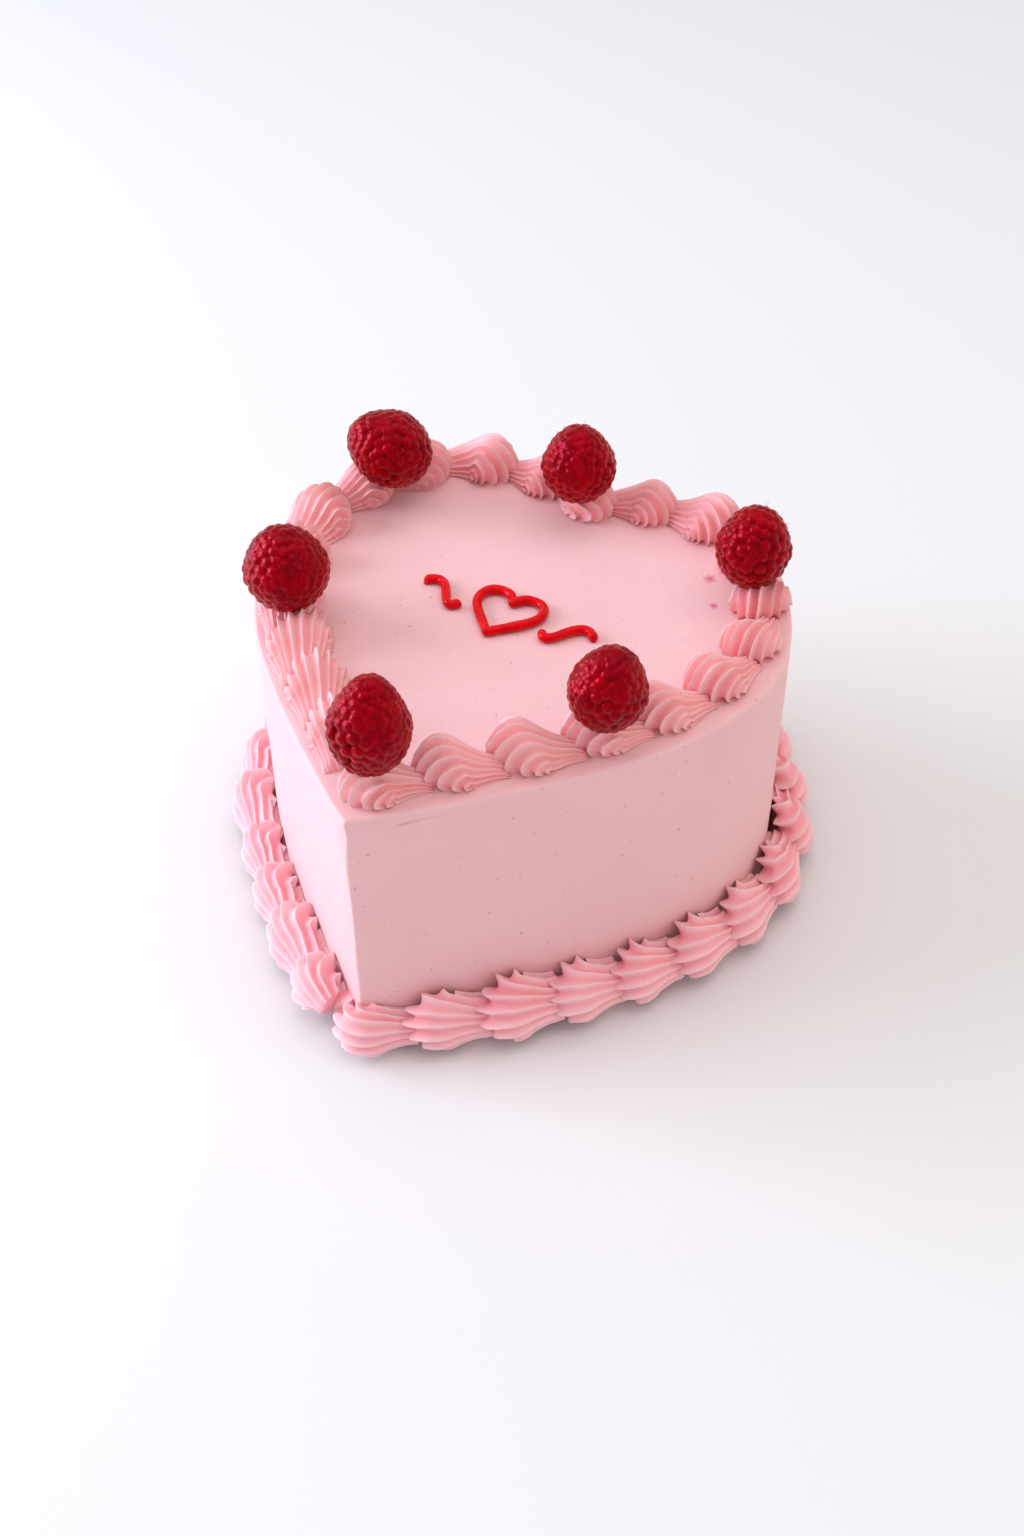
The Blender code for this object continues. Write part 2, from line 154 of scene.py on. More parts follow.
# %% A finish
class Finish:
    """A material built from one Principled shader."""

    def __init__(self, name, colour, roughness, constants=None):
        self.material = bpy.data.materials.new(name)
        self.material.use_nodes = True
        self.tree = self.material.node_tree
        self.shader = self.tree.nodes["Principled BSDF"]
        self.shader.inputs["Base Color"].default_value = (*colour, 1.0)
        self.shader.inputs["Roughness"].default_value = roughness
        for words, value in (constants or {}).items():
            self.shader.inputs[words].default_value = value
        self.place = self.node("ShaderNodeTexCoord", {"output": "Object"})

    def node(self, kind, settings, *inputs):
        """Any node: its settings first, then the values or links of its sockets in order."""
        made = self.tree.nodes.new(kind)
        wanted = settings.pop("output", 0)
        named = settings.pop("sockets", {})
        for setting, value in settings.items():
            setattr(made, setting, value)
        for socket, value in list(zip(made.inputs, inputs)) + [
                (made.inputs[words], value) for words, value in named.items()]:
            self.join(socket, value)
        return Wire(self, made.outputs[wanted])

    def join(self, socket, value):
        """Links a wire to a socket, or sets the socket to a plain value."""
        if isinstance(value, Wire):
            self.tree.links.new(value.socket, socket)
        else:
            socket.default_value = value

    def cloud(self, size, detail=2.0, seed=0.0):
        """Soft noise from 0 to 1 whose patches are about size across."""
        spot = self.node("ShaderNodeVectorMath", {"operation": "ADD"}, self.place,
                         (seed, seed * 0.7, seed * 0.3))
        return self.node("ShaderNodeTexNoise", {"sockets": {
            "Vector": spot, "Scale": 1 / size, "Detail": detail}})

    def blend(self, share, first, second):
        """A colour between two colours."""
        first, second = (colour if isinstance(colour, Wire) else (*colour, 1.0)
                         for colour in (first, second))
        return self.node("ShaderNodeMix", {"data_type": "RGBA", "output": 2, "sockets": {
            0: share, 6: first, 7: second}})

    def colour(self, wire):
        self.join(self.shader.inputs["Base Color"], wire)

    def roughness(self, wire):
        self.join(self.shader.inputs["Roughness"], wire)

    def metallic(self, wire):
        self.join(self.shader.inputs["Metallic"], wire)

    def relief(self, height, distance):
        """A bump of the given depth in metres."""
        bump = self.node("ShaderNodeBump", {"sockets": {
            "Strength": 1.0, "Distance": distance, "Height": height}})
        self.join(self.shader.inputs["Normal"], bump)


# %% [markdown]
# The heart's outline is the same for the body and for both borders. It is drawn as three smooth
# curves on the right side, from the tip to the notch, and mirrored. The sizes repeat the solid's
# own, so that every piece lands where the solid is.

# %% The heart's outline
HEART_LENGTH = 0.1638
HEART_HALF_WIDTH = 0.0785
WIDEST_FROM_TIP = 0.1032
LOBE_TOP_OFFSET = 0.0353
NOTCH_DEPTH = 0.0061
TIP_SIDE_ANGLE = math.radians(38.4)
NOTCH_SIDE_ANGLE = math.radians(35.0)
# A curve's handle is longer where the curve keeps its direction for longer.
TIP_HANDLE = 0.0581
WIDEST_LOWER_HANDLE = 0.0361
WIDEST_UPPER_HANDLE = 0.0194
LOBE_OUTER_HANDLE = 0.0240
LOBE_INNER_HANDLE = 0.0183
NOTCH_HANDLE = 0.0130
CAKE_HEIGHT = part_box("cake")[1].z


def bezier(start, leave, arrive, end, steps):
    """Points of one cubic curve, without its last point."""
    t = (np.arange(steps) / steps)[:, None]
    start, leave, arrive, end = (np.array(p, float) for p in (start, leave, arrive, end))
    early = (1 - t) ** 3 * start + 3 * (1 - t) ** 2 * t * leave
    late = 3 * (1 - t) * t ** 2 * arrive + t ** 3 * end
    return early + late


def from_tip(x, y):
    """A place measured from the heart's tip, in the model's own frame."""
    return np.array((x, y - HEART_LENGTH / 2))


def heart_outline(side_steps, lobe_steps, notch_steps):
    """The closed plan outline, counter-clockwise from the tip."""
    tip = from_tip(0, 0)
    widest = from_tip(HEART_HALF_WIDTH, WIDEST_FROM_TIP)
    lobe_top = from_tip(LOBE_TOP_OFFSET, HEART_LENGTH)
    notch = from_tip(0, HEART_LENGTH - NOTCH_DEPTH)
    tip_way = np.array((math.cos(TIP_SIDE_ANGLE), math.sin(TIP_SIDE_ANGLE)))
    notch_way = np.array((math.cos(NOTCH_SIDE_ANGLE), math.sin(NOTCH_SIDE_ANGLE)))
    side = bezier(tip, tip + TIP_HANDLE * tip_way, widest - (0, WIDEST_LOWER_HANDLE), widest,
                  side_steps)
    lobe = bezier(widest, widest + (0, WIDEST_UPPER_HANDLE), lobe_top + (LOBE_OUTER_HANDLE, 0),
                  lobe_top, lobe_steps)
    inner = bezier(lobe_top, lobe_top - (LOBE_INNER_HANDLE, 0), notch + NOTCH_HANDLE * notch_way,
                   notch, notch_steps)
    right = np.vstack((side, lobe, inner, [notch]))
    left = right[-2:0:-1] * (-1, 1)
    return np.vstack((right, left))


outline = heart_outline(90, 70, 40)
print("outline of", len(outline), "points")


# %% Distances along and beside a line
def along(points):
    """Length from the first point to each point."""
    return np.concatenate(([0], np.cumsum(np.hypot(*np.diff(points, axis=0).T))))


def distance_to_outline(points):
    """Shortest distance from each point to the heart's outline."""
    start = outline[None]
    step = np.roll(outline, -1, axis=0)[None] - start
    away = points[:, None] - start
    share = np.clip((away * step).sum(2) / (step ** 2).sum(2), 0, 1)
    return np.sqrt(((away - share[..., None] * step) ** 2).sum(2)).min(1)


CORNER_STEP = math.radians(4)
FOLD_SLACK = 0.97


def offset_outline(distances):
    """A line outside the outline by one distance for each point, or inside it if negative.

    It goes round the tip in small steps. Where it would fold over itself, points come out nearer
    to the outline than they should, and those are left out.
    """
    step = np.roll(outline, -1, axis=0) - outline
    headings = np.arctan2(step[:, 1], step[:, 0])
    points, wanted = [], []
    for corner, before, after, distance in zip(outline, np.roll(headings, 1), headings, distances):
        turn = (after - before + math.pi) % (2 * math.pi) - math.pi
        steps = max(1, int(turn / CORNER_STEP)) if distance > 0 else 1
        for heading in before + turn * (np.arange(steps) + 0.5) / steps:
            points.append(corner + distance * np.array((math.sin(heading), -math.cos(heading))))
            wanted.append(abs(distance))
    points = np.array(points)
    return points[distance_to_outline(points) > FOLD_SLACK * np.array(wanted)]


print("outline %.3f m round" % along(np.vstack((outline, outline[:1])))[-1])


# %% [markdown]
# The body is buttercream that was scraped smooth by hand. Its wall is straight but not perfect:
# it swells and dips by a fraction of a millimetre, the top edge is a little uneven, and the tip
# edge has a small dent just under the top. A displaced solid would need its faces cut up first,
# so the mesh is made in fine rings from the start. They follow the outline up the wall, over a
# small rounded edge and across the top, and soft noise then moves their points.

# %% The iced body
WALL_LEVELS = 46
TOP_RINGS = 44
AROUND = 520
CENTRE = from_tip(0, 0.090)
EDGE_RADIUS = 0.0013
EDGE_STEPS = 5
CENTRE_TO_WALL = 0.08
CORNER_ROUNDING = 0.0016


def even_outline(count, rounding):
    """The outline at even steps, its tip and notch rounded a little."""
    finer = 8
    closed = np.vstack((outline, outline[:1]))
    run = along(closed)
    fine = finer * count
    at = np.arange(fine) * run[-1] / fine
    line = np.column_stack([np.interp(at, run, closed[:, axis]) for axis in (0, 1)])
    reach = int(rounding / (run[-1] / fine))
    window = np.hanning(2 * reach + 3)[1:-1]
    window /= window.sum()
    padded = np.vstack((line[-reach:], line, line[:reach]))
    smooth = np.column_stack([np.convolve(padded[:, axis], window, "valid") for axis in (0, 1)])
    return smooth[::finer]


def soft_noise(points, size, seed):
    """Noise from about -1 to 1, one value for each point."""
    return np.array([noise.noise(Vector(point) / size + Vector((seed, 2 * seed, 3 * seed)))
                     for point in points])


def body_rings():
    """Rings from the foot up the wall and across the top, as (share of the plan, height)."""
    rings = [(1.0, z) for z in np.linspace(0, CAKE_HEIGHT - EDGE_RADIUS, WALL_LEVELS)]
    for step in range(1, EDGE_STEPS + 1):
        turn = math.pi / 2 * step / EDGE_STEPS
        rings.append((1 - EDGE_RADIUS * (1 - math.cos(turn)) / CENTRE_TO_WALL,
                      CAKE_HEIGHT - EDGE_RADIUS * (1 - math.sin(turn))))
    rim = 1 - EDGE_RADIUS / CENTRE_TO_WALL
    rings += [(rim * (1 - ring / TOP_RINGS), CAKE_HEIGHT) for ring in range(1, TOP_RINGS)]
    return rings


print(len(body_rings()), "rings of", AROUND, "points")

# %% Move the rings' points and close the body
LONG_SWELL, LONG_SHARE = 0.026, 0.5
SHORT_SWELL, SHORT_SHARE = 0.007, 0.2
SCRAPED_AWAY = 0.45
WALL_UNEVENNESS = 0.00045
TOP_UNEVENNESS = 0.00040
UNEVEN_RIM = 0.025
TOP_STARTS, TOP_EASE = 0.080, 0.004
TIP_EDGE_WIDTH = 0.0035
TIP_WAVE, TIP_WAVER, TIP_WORN = 0.010, 0.0004, 0.0003
DENT_HEIGHT, DENT_REACH, DENT_DEPTH = 0.0795, 0.0035, 0.0009


def iced_body():
    """The body's rings, moved by soft noise and dented at the tip edge."""
    plan = even_outline(AROUND, CORNER_ROUNDING)
    way = np.roll(plan, -1, axis=0) - np.roll(plan, 1, axis=0)
    outward = np.column_stack((way[:, 1], -way[:, 0])) / np.hypot(*way.T)[:, None]
    rows = []
    for share, z in body_rings():
        flat = CENTRE + (plan - CENTRE) * share
        points = np.column_stack((flat, np.full(len(flat), z)))
        swells = (LONG_SHARE * soft_noise(points, LONG_SWELL, 3)
                  + SHORT_SHARE * soft_noise(points, SHORT_SWELL, 8) - SCRAPED_AWAY)
        on_wall = min(1.0, max(0.0, (share - (1 - UNEVEN_RIM)) / UNEVEN_RIM))
        on_top = min(1.0, max(0.0, (z - TOP_STARTS) / TOP_EASE))
        points[:, :2] += outward * (WALL_UNEVENNESS * swells * on_wall)[:, None]
        points[:, 2] += TOP_UNEVENNESS * (swells - 0.1) * on_top
        at_tip = np.exp(-((plan - from_tip(0, 0)) ** 2).sum(1) / TIP_EDGE_WIDTH ** 2) * on_wall
        dent = TIP_WAVER * noise.noise((z / TIP_WAVE, 4.2, 0.7)) - TIP_WORN
        dent -= DENT_DEPTH * math.exp(-((z - DENT_HEIGHT) / DENT_REACH) ** 2)
        points[:, :2] += outward * (dent * at_tip)[:, None]
        rows.append(points)
    return sheet_object("iced_body", rows)


body = iced_body()
print("iced body", len(body.data.vertices), "points")

# %% [markdown]
# Smooth buttercream is pale pink and nearly matte, with a soft glow because light sinks in a
# little. Close up it has tiny dark and light specks where air bubbles broke. Under the top edge,
# near the tip, the scraper left one thin wavering ridge, and near one raspberry, drops of juice
# have stained the icing magenta. These marks are finer than the mesh and don't show in the
# outline, so masks made from noise and distances colour and raise them.

# %% Marks in the smooth icing
JUICE_STAINS = ((0.0456, 0.1331, 0.0021), (0.0512, 0.1215, 0.0014))
SCRAPE_START = (0.0095, -0.0742, 0.0818)
SCRAPE_END = (0.0308, -0.0575, 0.0849)
SCRAPE_WIDTH = 0.0005
SCRAPE_FADE = 0.004
SCRAPE_WAVER = 0.0022


def icing_stain(finish, x, y, size):
    """1 in a small ragged spot on the top, 0 outside it."""
    spot = (*from_tip(x, y), CAKE_HEIGHT)
    away = finish.node("ShaderNodeVectorMath", {"operation": "DISTANCE", "output": 1},
                       finish.place, spot)
    ragged = away + (finish.cloud(0.0012, seed=x * 90) - 0.5) * (size * 1.6)
    return 1.0 - ragged.between(size * 0.35, size)


def scraper_ridge(finish):
    """1 on a thin wavering line between two places on the wall, 0 beside it."""
    way = (Vector(SCRAPE_END) - Vector(SCRAPE_START)).normalized()
    length = (Vector(SCRAPE_END) - Vector(SCRAPE_START)).length
    waver = (finish.cloud(0.007, seed=21) - 0.5) * SCRAPE_WAVER
    spot = finish.node("ShaderNodeVectorMath", {"operation": "SUBTRACT"}, finish.place,
                       SCRAPE_START)
    spot = finish.node("ShaderNodeVectorMath", {"operation": "ADD"}, spot, waver)
    beside = finish.node("ShaderNodeVectorMath", {"operation": "CROSS_PRODUCT"}, spot, tuple(way))
    away = finish.node("ShaderNodeVectorMath", {"operation": "LENGTH", "output": 1}, beside)
    run = finish.node("ShaderNodeVectorMath", {"operation": "DOT_PRODUCT", "output": 1},
                      spot, tuple(way))
    ends = run.between(0.0, SCRAPE_FADE) * (1.0 - run.between(length - SCRAPE_FADE, length))
    return (1.0 - away.between(SCRAPE_WIDTH * 0.3, SCRAPE_WIDTH)) * ends


print(len(JUICE_STAINS), "stains and one ridge of %.0f mm"
      % (1000 * (Vector(SCRAPE_END) - Vector(SCRAPE_START)).length))

# %% Finish of the smooth icing
ICING_PINK = (0.875, 0.528, 0.540)
ICING_DEEPER_PINK = (0.855, 0.502, 0.518)
PIT_BROWN = (0.62, 0.27, 0.29)
BUBBLE_PALE = (0.93, 0.78, 0.76)
STAIN_MAGENTA = (0.72, 0.07, 0.20)
ICING_RELIEF = 0.00022


def smooth_icing():
    """Pale pink with faint patches, then pits, bubbles, stains and the ridge over it."""
    finish = Finish("smooth_icing", ICING_PINK, 0.52, {
        "Subsurface Weight": 0.12, "Subsurface Radius": (0.003, 0.0010, 0.0009),
        "Subsurface Scale": 1.0, "Specular IOR Level": 0.25})
    patches = finish.cloud(0.030, 3.0).between(0.30, 0.70)
    colour = finish.blend(patches, ICING_PINK, ICING_DEEPER_PINK)
    pits = finish.cloud(0.0014, 1.0, seed=5).between(0.745, 0.79)
    colour = finish.blend(pits * 0.55, colour, PIT_BROWN)
    bubbles = finish.cloud(0.0022, 1.0, seed=17).between(0.75, 0.79)
    colour = finish.blend(bubbles * 0.5, colour, BUBBLE_PALE)
    far_stain, near_stain = (icing_stain(finish, *stain) for stain in JUICE_STAINS)
    stains = (far_stain + near_stain).between(0.0, 1.0)
    colour = finish.blend(stains * 0.75, colour, STAIN_MAGENTA)
    finish.colour(colour)
    finish.roughness(finish.cloud(0.012, seed=2).between(0.2, 0.8) * 0.14 + 0.45)
    scrape = finish.cloud(0.0035, 4.0, seed=9) * 0.5
    ridge = scraper_ridge(finish)
    finish.relief(scrape - pits * 0.6 - bubbles * 0.4 + ridge * 2.4, ICING_RELIEF)
    return finish.material


def dress(piece, material, slot, *nodes):
    """Gives a piece its material and puts it in place of the named solids."""
    piece.data.materials.append(material)
    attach(piece, "root")
    if nodes:
        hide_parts(*nodes)


dress(body, smooth_icing(), "smooth_icing", "cake")
print("smooth icing on", body.name)

# %% [markdown]
# Both borders are rows of shells, piped one after another along a line. The line of the top
# border lies inside the edge, and that of the foot border lies outside the wall and hugs the tip.
# The hand that piped the top border wandered: near the tip and round the back it came closer to
# the edge, and down the left side it drew a wider border. Bending a straight row along a curve
# object would pinch the shells at the corners, so a place is given by the distance along a line
# and the distance beside it, and a shell can be shaped as if the line were straight.

# %% The two piping lines
class PipingLine:
    """The middle line of a border."""

    STEP = 0.0005
    SMOOTHING = 0.006
    SPARE = 0.030

    def __init__(self, points, closed):
        run = along(points)
        even = np.arange(0, run[-1], self.STEP)
        line = np.column_stack([np.interp(even, run, points[:, axis]) for axis in (0, 1)])
        reach = int(self.SMOOTHING / self.STEP)
        spare = int(self.SPARE / self.STEP)
        line = self.extended(line, reach, closed)
        window = np.hanning(2 * reach + 3)[1:-1]
        window /= window.sum()
        line = np.column_stack([np.convolve(line[:, axis], window, "valid") for axis in (0, 1)])
        self.length = even[-1]
        if closed:
            line[-1] = line[0]
        self.line = self.extended(line, spare, closed)
        self.run = (np.arange(len(self.line)) - spare) * self.STEP
        way = np.gradient(self.line, axis=0)
        way /= np.hypot(*way.T)[:, None]
        self.outward = np.column_stack((way[:, 1], -way[:, 0]))

    @staticmethod
    def extended(line, reach, closed):
        """The line carried on at both ends, so that smoothing doesn't shorten it."""
        if closed:
            return np.vstack((line[-reach - 1:-1], line, line[1:reach + 1]))
        before = 2 * line[0] - line[reach:0:-1]
        after = 2 * line[-1] - line[-2:-reach - 2:-1]
        return np.vstack((before, line, after))

    def place(self, distance, sideways):
        """Plan points; sideways is positive away from the cake's middle."""
        line, outward = (np.column_stack([np.interp(distance, self.run, table[:, axis])
                                          for axis in (0, 1)])
                         for table in (self.line, self.outward))
        outward /= np.hypot(*outward.T)[:, None]
        return line + sideways[:, None] * outward


print("piping lines have a point every %.1f mm" % (1000 * PipingLine.STEP))


# %% Top line
TOP_BORDER_INSET = 0.0105
TOP_BORDER_SHIFT = (-0.0007, 0.0003)
TOP_HEAD_START = 0.0085
TOP_LAST_STOP = 0.0115
TOP_BACK_PUSH = 0.0022
TOP_BACK_SWELL = 0.07
TOP_LEFT_PULL = 0.0008
TOP_LEFT_SWELL = 0.11
TOP_TIP_PUSH = 0.0030
BACK_FROM_TIP, BACK_EASE = 0.095, 0.030
LEFT_FROM_MIDDLE, LEFT_EASE = 0.012, 0.020
TIP_REACH, TIP_EASE = 0.021, 0.010


def eased(share):
    """0 below 0 and 1 above 1, with a smooth rise between them."""
    share = np.clip(share, 0, 1)
    return share * share * (3 - 2 * share)


def top_border_fit(points):
    """How far out the top border is pushed at places on its line, and how much it swells."""
    back = eased((points[:, 1] + HEART_LENGTH / 2 - BACK_FROM_TIP) / BACK_EASE)
    left = eased((-points[:, 0] - LEFT_FROM_MIDDLE) / LEFT_EASE) * (1 - back)
    tip = eased((TIP_REACH - np.hypot(*(points - from_tip(0, 0)).T)) / TIP_EASE)
    return (TOP_BACK_PUSH * back + TOP_TIP_PUSH * tip - TOP_LEFT_PULL * left,
            1 + TOP_BACK_SWELL * back + TOP_LEFT_SWELL * left)


def top_piping_line():
    """From the tip, up the right side, round both lobes and back down the left side."""
    inset = offset_outline(np.full(len(outline), -TOP_BORDER_INSET)) + TOP_BORDER_SHIFT
    start_way = inset[4] - inset[0]
    start_way /= np.hypot(*start_way)
    kept = inset[::-1][along(inset[::-1]) > TOP_LAST_STOP][::-1]
    return PipingLine(np.vstack(([inset[0] - TOP_HEAD_START * start_way], kept)), False)


top_line = top_piping_line()
print("top line %.3f m" % top_line.length)

# %% Foot line
FOOT_OFFSET = 0.0060
FOOT_TIP_OFFSET = 0.0022
FOOT_RIGHT_EASE = 0.040
FOOT_LEFT_EASE = 0.014
FOOT_START_BEFORE_TIP = 0.0068


def away_from_tip(points):
    """0 at the heart's tip, easing to 1 where the foot border has its full size."""
    away = np.hypot(*(points - from_tip(0, 0)).T)
    return eased(away / np.where(points[:, 0] > 0, FOOT_RIGHT_EASE, FOOT_LEFT_EASE))


def foot_piping_line():
    """Right round the foot, starting left of the tip."""
    room = FOOT_OFFSET - FOOT_TIP_OFFSET
    loop = offset_outline(FOOT_TIP_OFFSET + room * away_from_tip(outline))
    left_way = np.array((-math.cos(TIP_SIDE_ANGLE), math.sin(TIP_SIDE_ANGLE)))
    outward = np.array((-math.sin(TIP_SIDE_ANGLE), -math.cos(TIP_SIDE_ANGLE)))
    start = from_tip(0, 0) + FOOT_START_BEFORE_TIP * left_way + FOOT_TIP_OFFSET * outward
    loop = np.roll(loop, -int(np.argmin(np.hypot(*(loop - start).T))), axis=0)
    return PipingLine(np.vstack((loop, loop[:1])), True)


base_line = foot_piping_line()
print("foot line %.3f m" % base_line.length)

# %% [markdown]
# A star tube makes a shell in one squeeze: the icing swells forward, climbs over itself and is
# pulled back to a thin tail, on which the next shell sits. Its ridges leave the icing in an arc
# round the front and along both sides, curl up over the head and run together in the tail, like
# a scallop shell. So the form starts from one side view, drawn as a smooth curve from the front
# foot over the head to the tail. Its front part is a fan of slices that turn about one line
# across the border, and its tail is a row of upright slices. Each slice has the same ridges:
# thin crests with wide hollows between them. The points of a slice lie closer together near a
# crest, so that its edge stays sharp. Sculpting each shell would give the same look with far
# more work, and wouldn't keep them all alike.

# %% Side views and sizes of the two kinds of shell
RIDGE_POINTS = (0.0, 0.05, 0.13, 0.24, 0.37, 0.50, 0.63, 0.76, 0.87, 0.95)
SLICES = 44

# Side views are in millimetres forward and up; limits are degrees to each side of upright.
TOP_FORM = dict(
    side_view=((1.3, -0.7), (0.45, 0.8), (-0.1, 2.4), (0.0, 4.4), (0.8, 6.8), (2.2, 9.2),
               (4.4, 11.3), (7.2, 12.4), (10.2, 11.9), (13.2, 9.9), (15.8, 7.9), (18.2, 6.4),
               (20.6, 5.2), (22.4, 4.4), (23.8, 3.1), (24.9, 1.2), (25.2, -0.7)),
    hinge=0.0158, half_width=0.0099, foot_width=0.92, tail_width=0.40, narrow_from=0.0065,
    narrow_to=0.0235, spacing=math.radians(15.5), depth=0.160, roundness=0.78,
    crowded_sides=0.12, curl=0.0034, limits=(-98, 98), head_drift=-0.0010, tail_drift=0.0020,
    lean=math.radians(90), up=-0.0004)
FOOT_FORM = dict(
    side_view=((1.2, -0.6), (0.35, 0.6), (-0.1, 1.7), (0.0, 2.9), (0.7, 4.3), (2.2, 5.7),
               (4.6, 6.7), (7.4, 7.1), (10.2, 6.7), (13.0, 5.7), (15.2, 4.8), (17.6, 4.0),
               (20.0, 3.4), (22.4, 2.9), (24.4, 2.5)),
    hinge=0.0152, half_width=0.0110, foot_width=0.88, tail_width=0.54, narrow_from=0.0070,
    narrow_to=0.0225, spacing=math.radians(25.0), depth=0.200, roundness=1.0,
    crowded_sides=0.0, curl=0.0012, limits=(-122, 98), head_drift=-0.0003, tail_drift=0.0019,
    lean=math.radians(25), up=0.0106)

# The last foot shell has nothing after it to cover its tail: it is shorter, and its tail stays
# wide towards the wall and runs to a point on the outer side. The last top shell keeps a wide
# outer side too. Where the top border is wide, its tails are wider still.
LAST_FOOT_FORM = dict(
    FOOT_FORM, tail_width=0.56, outer_tail=0.06, narrow_to=0.0178,
    side_view=FOOT_FORM["side_view"][:-5] + ((15.0, 5.2), (16.6, 5.0), (17.8, 4.6)))
TOP_LAST_OUTER_TAIL = 0.68
TOP_TAIL_SWELL = 1.8


def smooth_curve(points, count):
    """Evenly spaced points on a smooth curve through the given ones."""
    points = np.array(points, float)
    padded = np.vstack((2 * points[0] - points[1], points, 2 * points[-1] - points[-2]))
    fine = []
    for before, start, end, after in zip(padded, padded[1:], padded[2:], padded[3:]):
        for t in np.arange(12) / 12:
            fine.append(0.5 * (2 * start + (end - before) * t
                               + (2 * before - 5 * start + 4 * end - after) * t ** 2
                               + (3 * start - before - 3 * end + after) * t ** 3))
    fine = np.vstack((fine, points[-1:]))
    run = along(fine)
    even = np.linspace(0, run[-1], count)
    return np.column_stack([np.interp(even, run, fine[:, axis]) for axis in (0, 1)])


print("shells %.1f and %.1f mm long before they are fitted"
      % (TOP_FORM["side_view"][-1][0], FOOT_FORM["side_view"][-1][0]))


# %% Ridges across a slice
RIDGE_SPREAD = 0.10
HOLLOW_DEPTHS = (0.82, 1.12)


def ridge_angles(form, chance):
    """Angles across a slice, and for each the hollow's share and the number of its crest."""
    low, high = (math.radians(limit) for limit in form["limits"])
    phase = chance.uniform(-0.5, 0.5) * form["spacing"]
    first, last = int(low / form["spacing"]) - 2, int(high / form["spacing"]) + 3
    crests = np.array([phase + form["spacing"] * (k + chance.uniform(-RIDGE_SPREAD, RIDGE_SPREAD))
                       for k in range(first, last)])
    crests += form["crowded_sides"] * np.sin(2 * crests)
    angles, hollow, number = [], [], []
    for k, (crest, following) in enumerate(zip(crests, crests[1:])):
        depth = chance.uniform(*HOLLOW_DEPTHS)
        for share in RIDGE_POINTS:
            angles.append(crest + (following - crest) * share)
            hollow.append(depth * math.sin(math.pi * share) ** form["roundness"])
            number.append(k + share)
    angles, hollow, number = (np.array(values) for values in (angles, hollow, number))
    inside = (angles > low) & (angles < high)
    return angles[inside], hollow[inside], number[inside]


for form in (TOP_FORM, FOOT_FORM):
    print((ridge_angles(form, random.Random(1))[1] == 0).sum(), "ridges on a shell")


# %% The rows of one shell
WOBBLE_PER_RIDGE, WOBBLE_PER_SLICE = 1.7, 0.40
FOOT_RISE = 0.004
FOOT_RIDGES_DEEPER = 0.35
WOBBLE_SIZE = 0.020
STEADY_HOLLOWS = 0.7
CURL_FALL = 2.2


def wobble(number, row, seed):
    """Small uneven swelling of the ridges, from about -1 to 1."""
    return np.array([noise.noise((value * WOBBLE_PER_RIDGE, row * WOBBLE_PER_SLICE, seed))
                     for value in number])


def shell_rows(form, chance):
    """The form of one shell as rows of (along, sideways, up), before it is set on its line."""
    angles, hollow, number = ridge_angles(form, chance)
    sine, cosine = np.sin(angles), np.cos(angles)
    seed = chance.uniform(0, 50)
    rows = []
    side_view = smooth_curve(form["side_view"], SLICES) / 1000
    top = side_view[:, 1].max()
    for row, (forward, up) in enumerate(side_view):
        centre = max(form["hinge"], forward)
        rise = min(1.0, max(0.0, up) / FOOT_RISE) if forward < form["hinge"] / 2 else 1.0
        wide = form["half_width"] * (form["foot_width"] + (1 - form["foot_width"]) * rise)
        ridges = (1 - form["depth"] * (1 + FOOT_RIDGES_DEEPER * (1 - rise)) * hollow
                  + WOBBLE_SIZE * wobble(number, row, seed) * (1 - STEADY_HOLLOWS * hollow))
        distance = centre + (forward - centre) * ridges * cosine
        if forward < form["hinge"]:
            share = max(0.0, up) / top
            curl = form["curl"] * (1 - CURL_FALL * share) * (1 - share)
            distance = distance + curl * sine ** 2
        narrow = np.clip((distance - form["narrow_from"])
                         / (form["narrow_to"] - form["narrow_from"]), 0, 1)
        drift = form["head_drift"] + (form["tail_drift"] - form["head_drift"]) * narrow
        inner, outer = form["tail_width"], form.get("outer_tail", form["tail_width"])
        kept = inner + (outer - inner) * eased(0.5 + sine)
        sideways = drift + wide * ridges * sine * (1 - (1 - kept) * eased(narrow))
        rows.append(np.column_stack((distance, sideways, up * ridges * cosine)))
    return np.array(rows), hollow


print("a top shell has %d slices of %d points"
      % shell_rows(TOP_FORM, random.Random(1))[0].shape[:2])

# %% [markdown]
# A shell is set on its line slice by slice. The berries press it down where they sit, the wall
# and the table stop it, and a little noise keeps any two shells from being alike. The uneven
# steps between shells come from the same seeded draw as in the solids, so each fine shell stands
# on its own solid, only up to 3 mm farther out near the tip and 2 mm at the back.

# %% Raspberries: where they sit
# name, place from the heart's tip, width, height, seat above the icing, lean and its direction
# in degrees, taper to the point
RASPBERRIES = (
    ("tip", (0.0009, 0.0149), 0.0220, 0.0290, 0.0068, 5, 60, 0.32),
    ("right_side", (0.0474, 0.0548), 0.0212, 0.0250, 0.0068, 10, 20, 0.22),
    ("right_lobe", (0.0594, 0.1271), 0.0215, 0.0250, 0.0068, 5, 0, 0.16),
    ("notch", (-0.0012, 0.1445), 0.0225, 0.0242, 0.0068, 5, 120, 0.20),
    ("left_lobe", (-0.0554, 0.1280), 0.0235, 0.0265, 0.0068, 60, 205, 0.16),
    ("left_side", (-0.0521, 0.0635), 0.0243, 0.0250, 0.0068, 12, 150, 0.16),
)


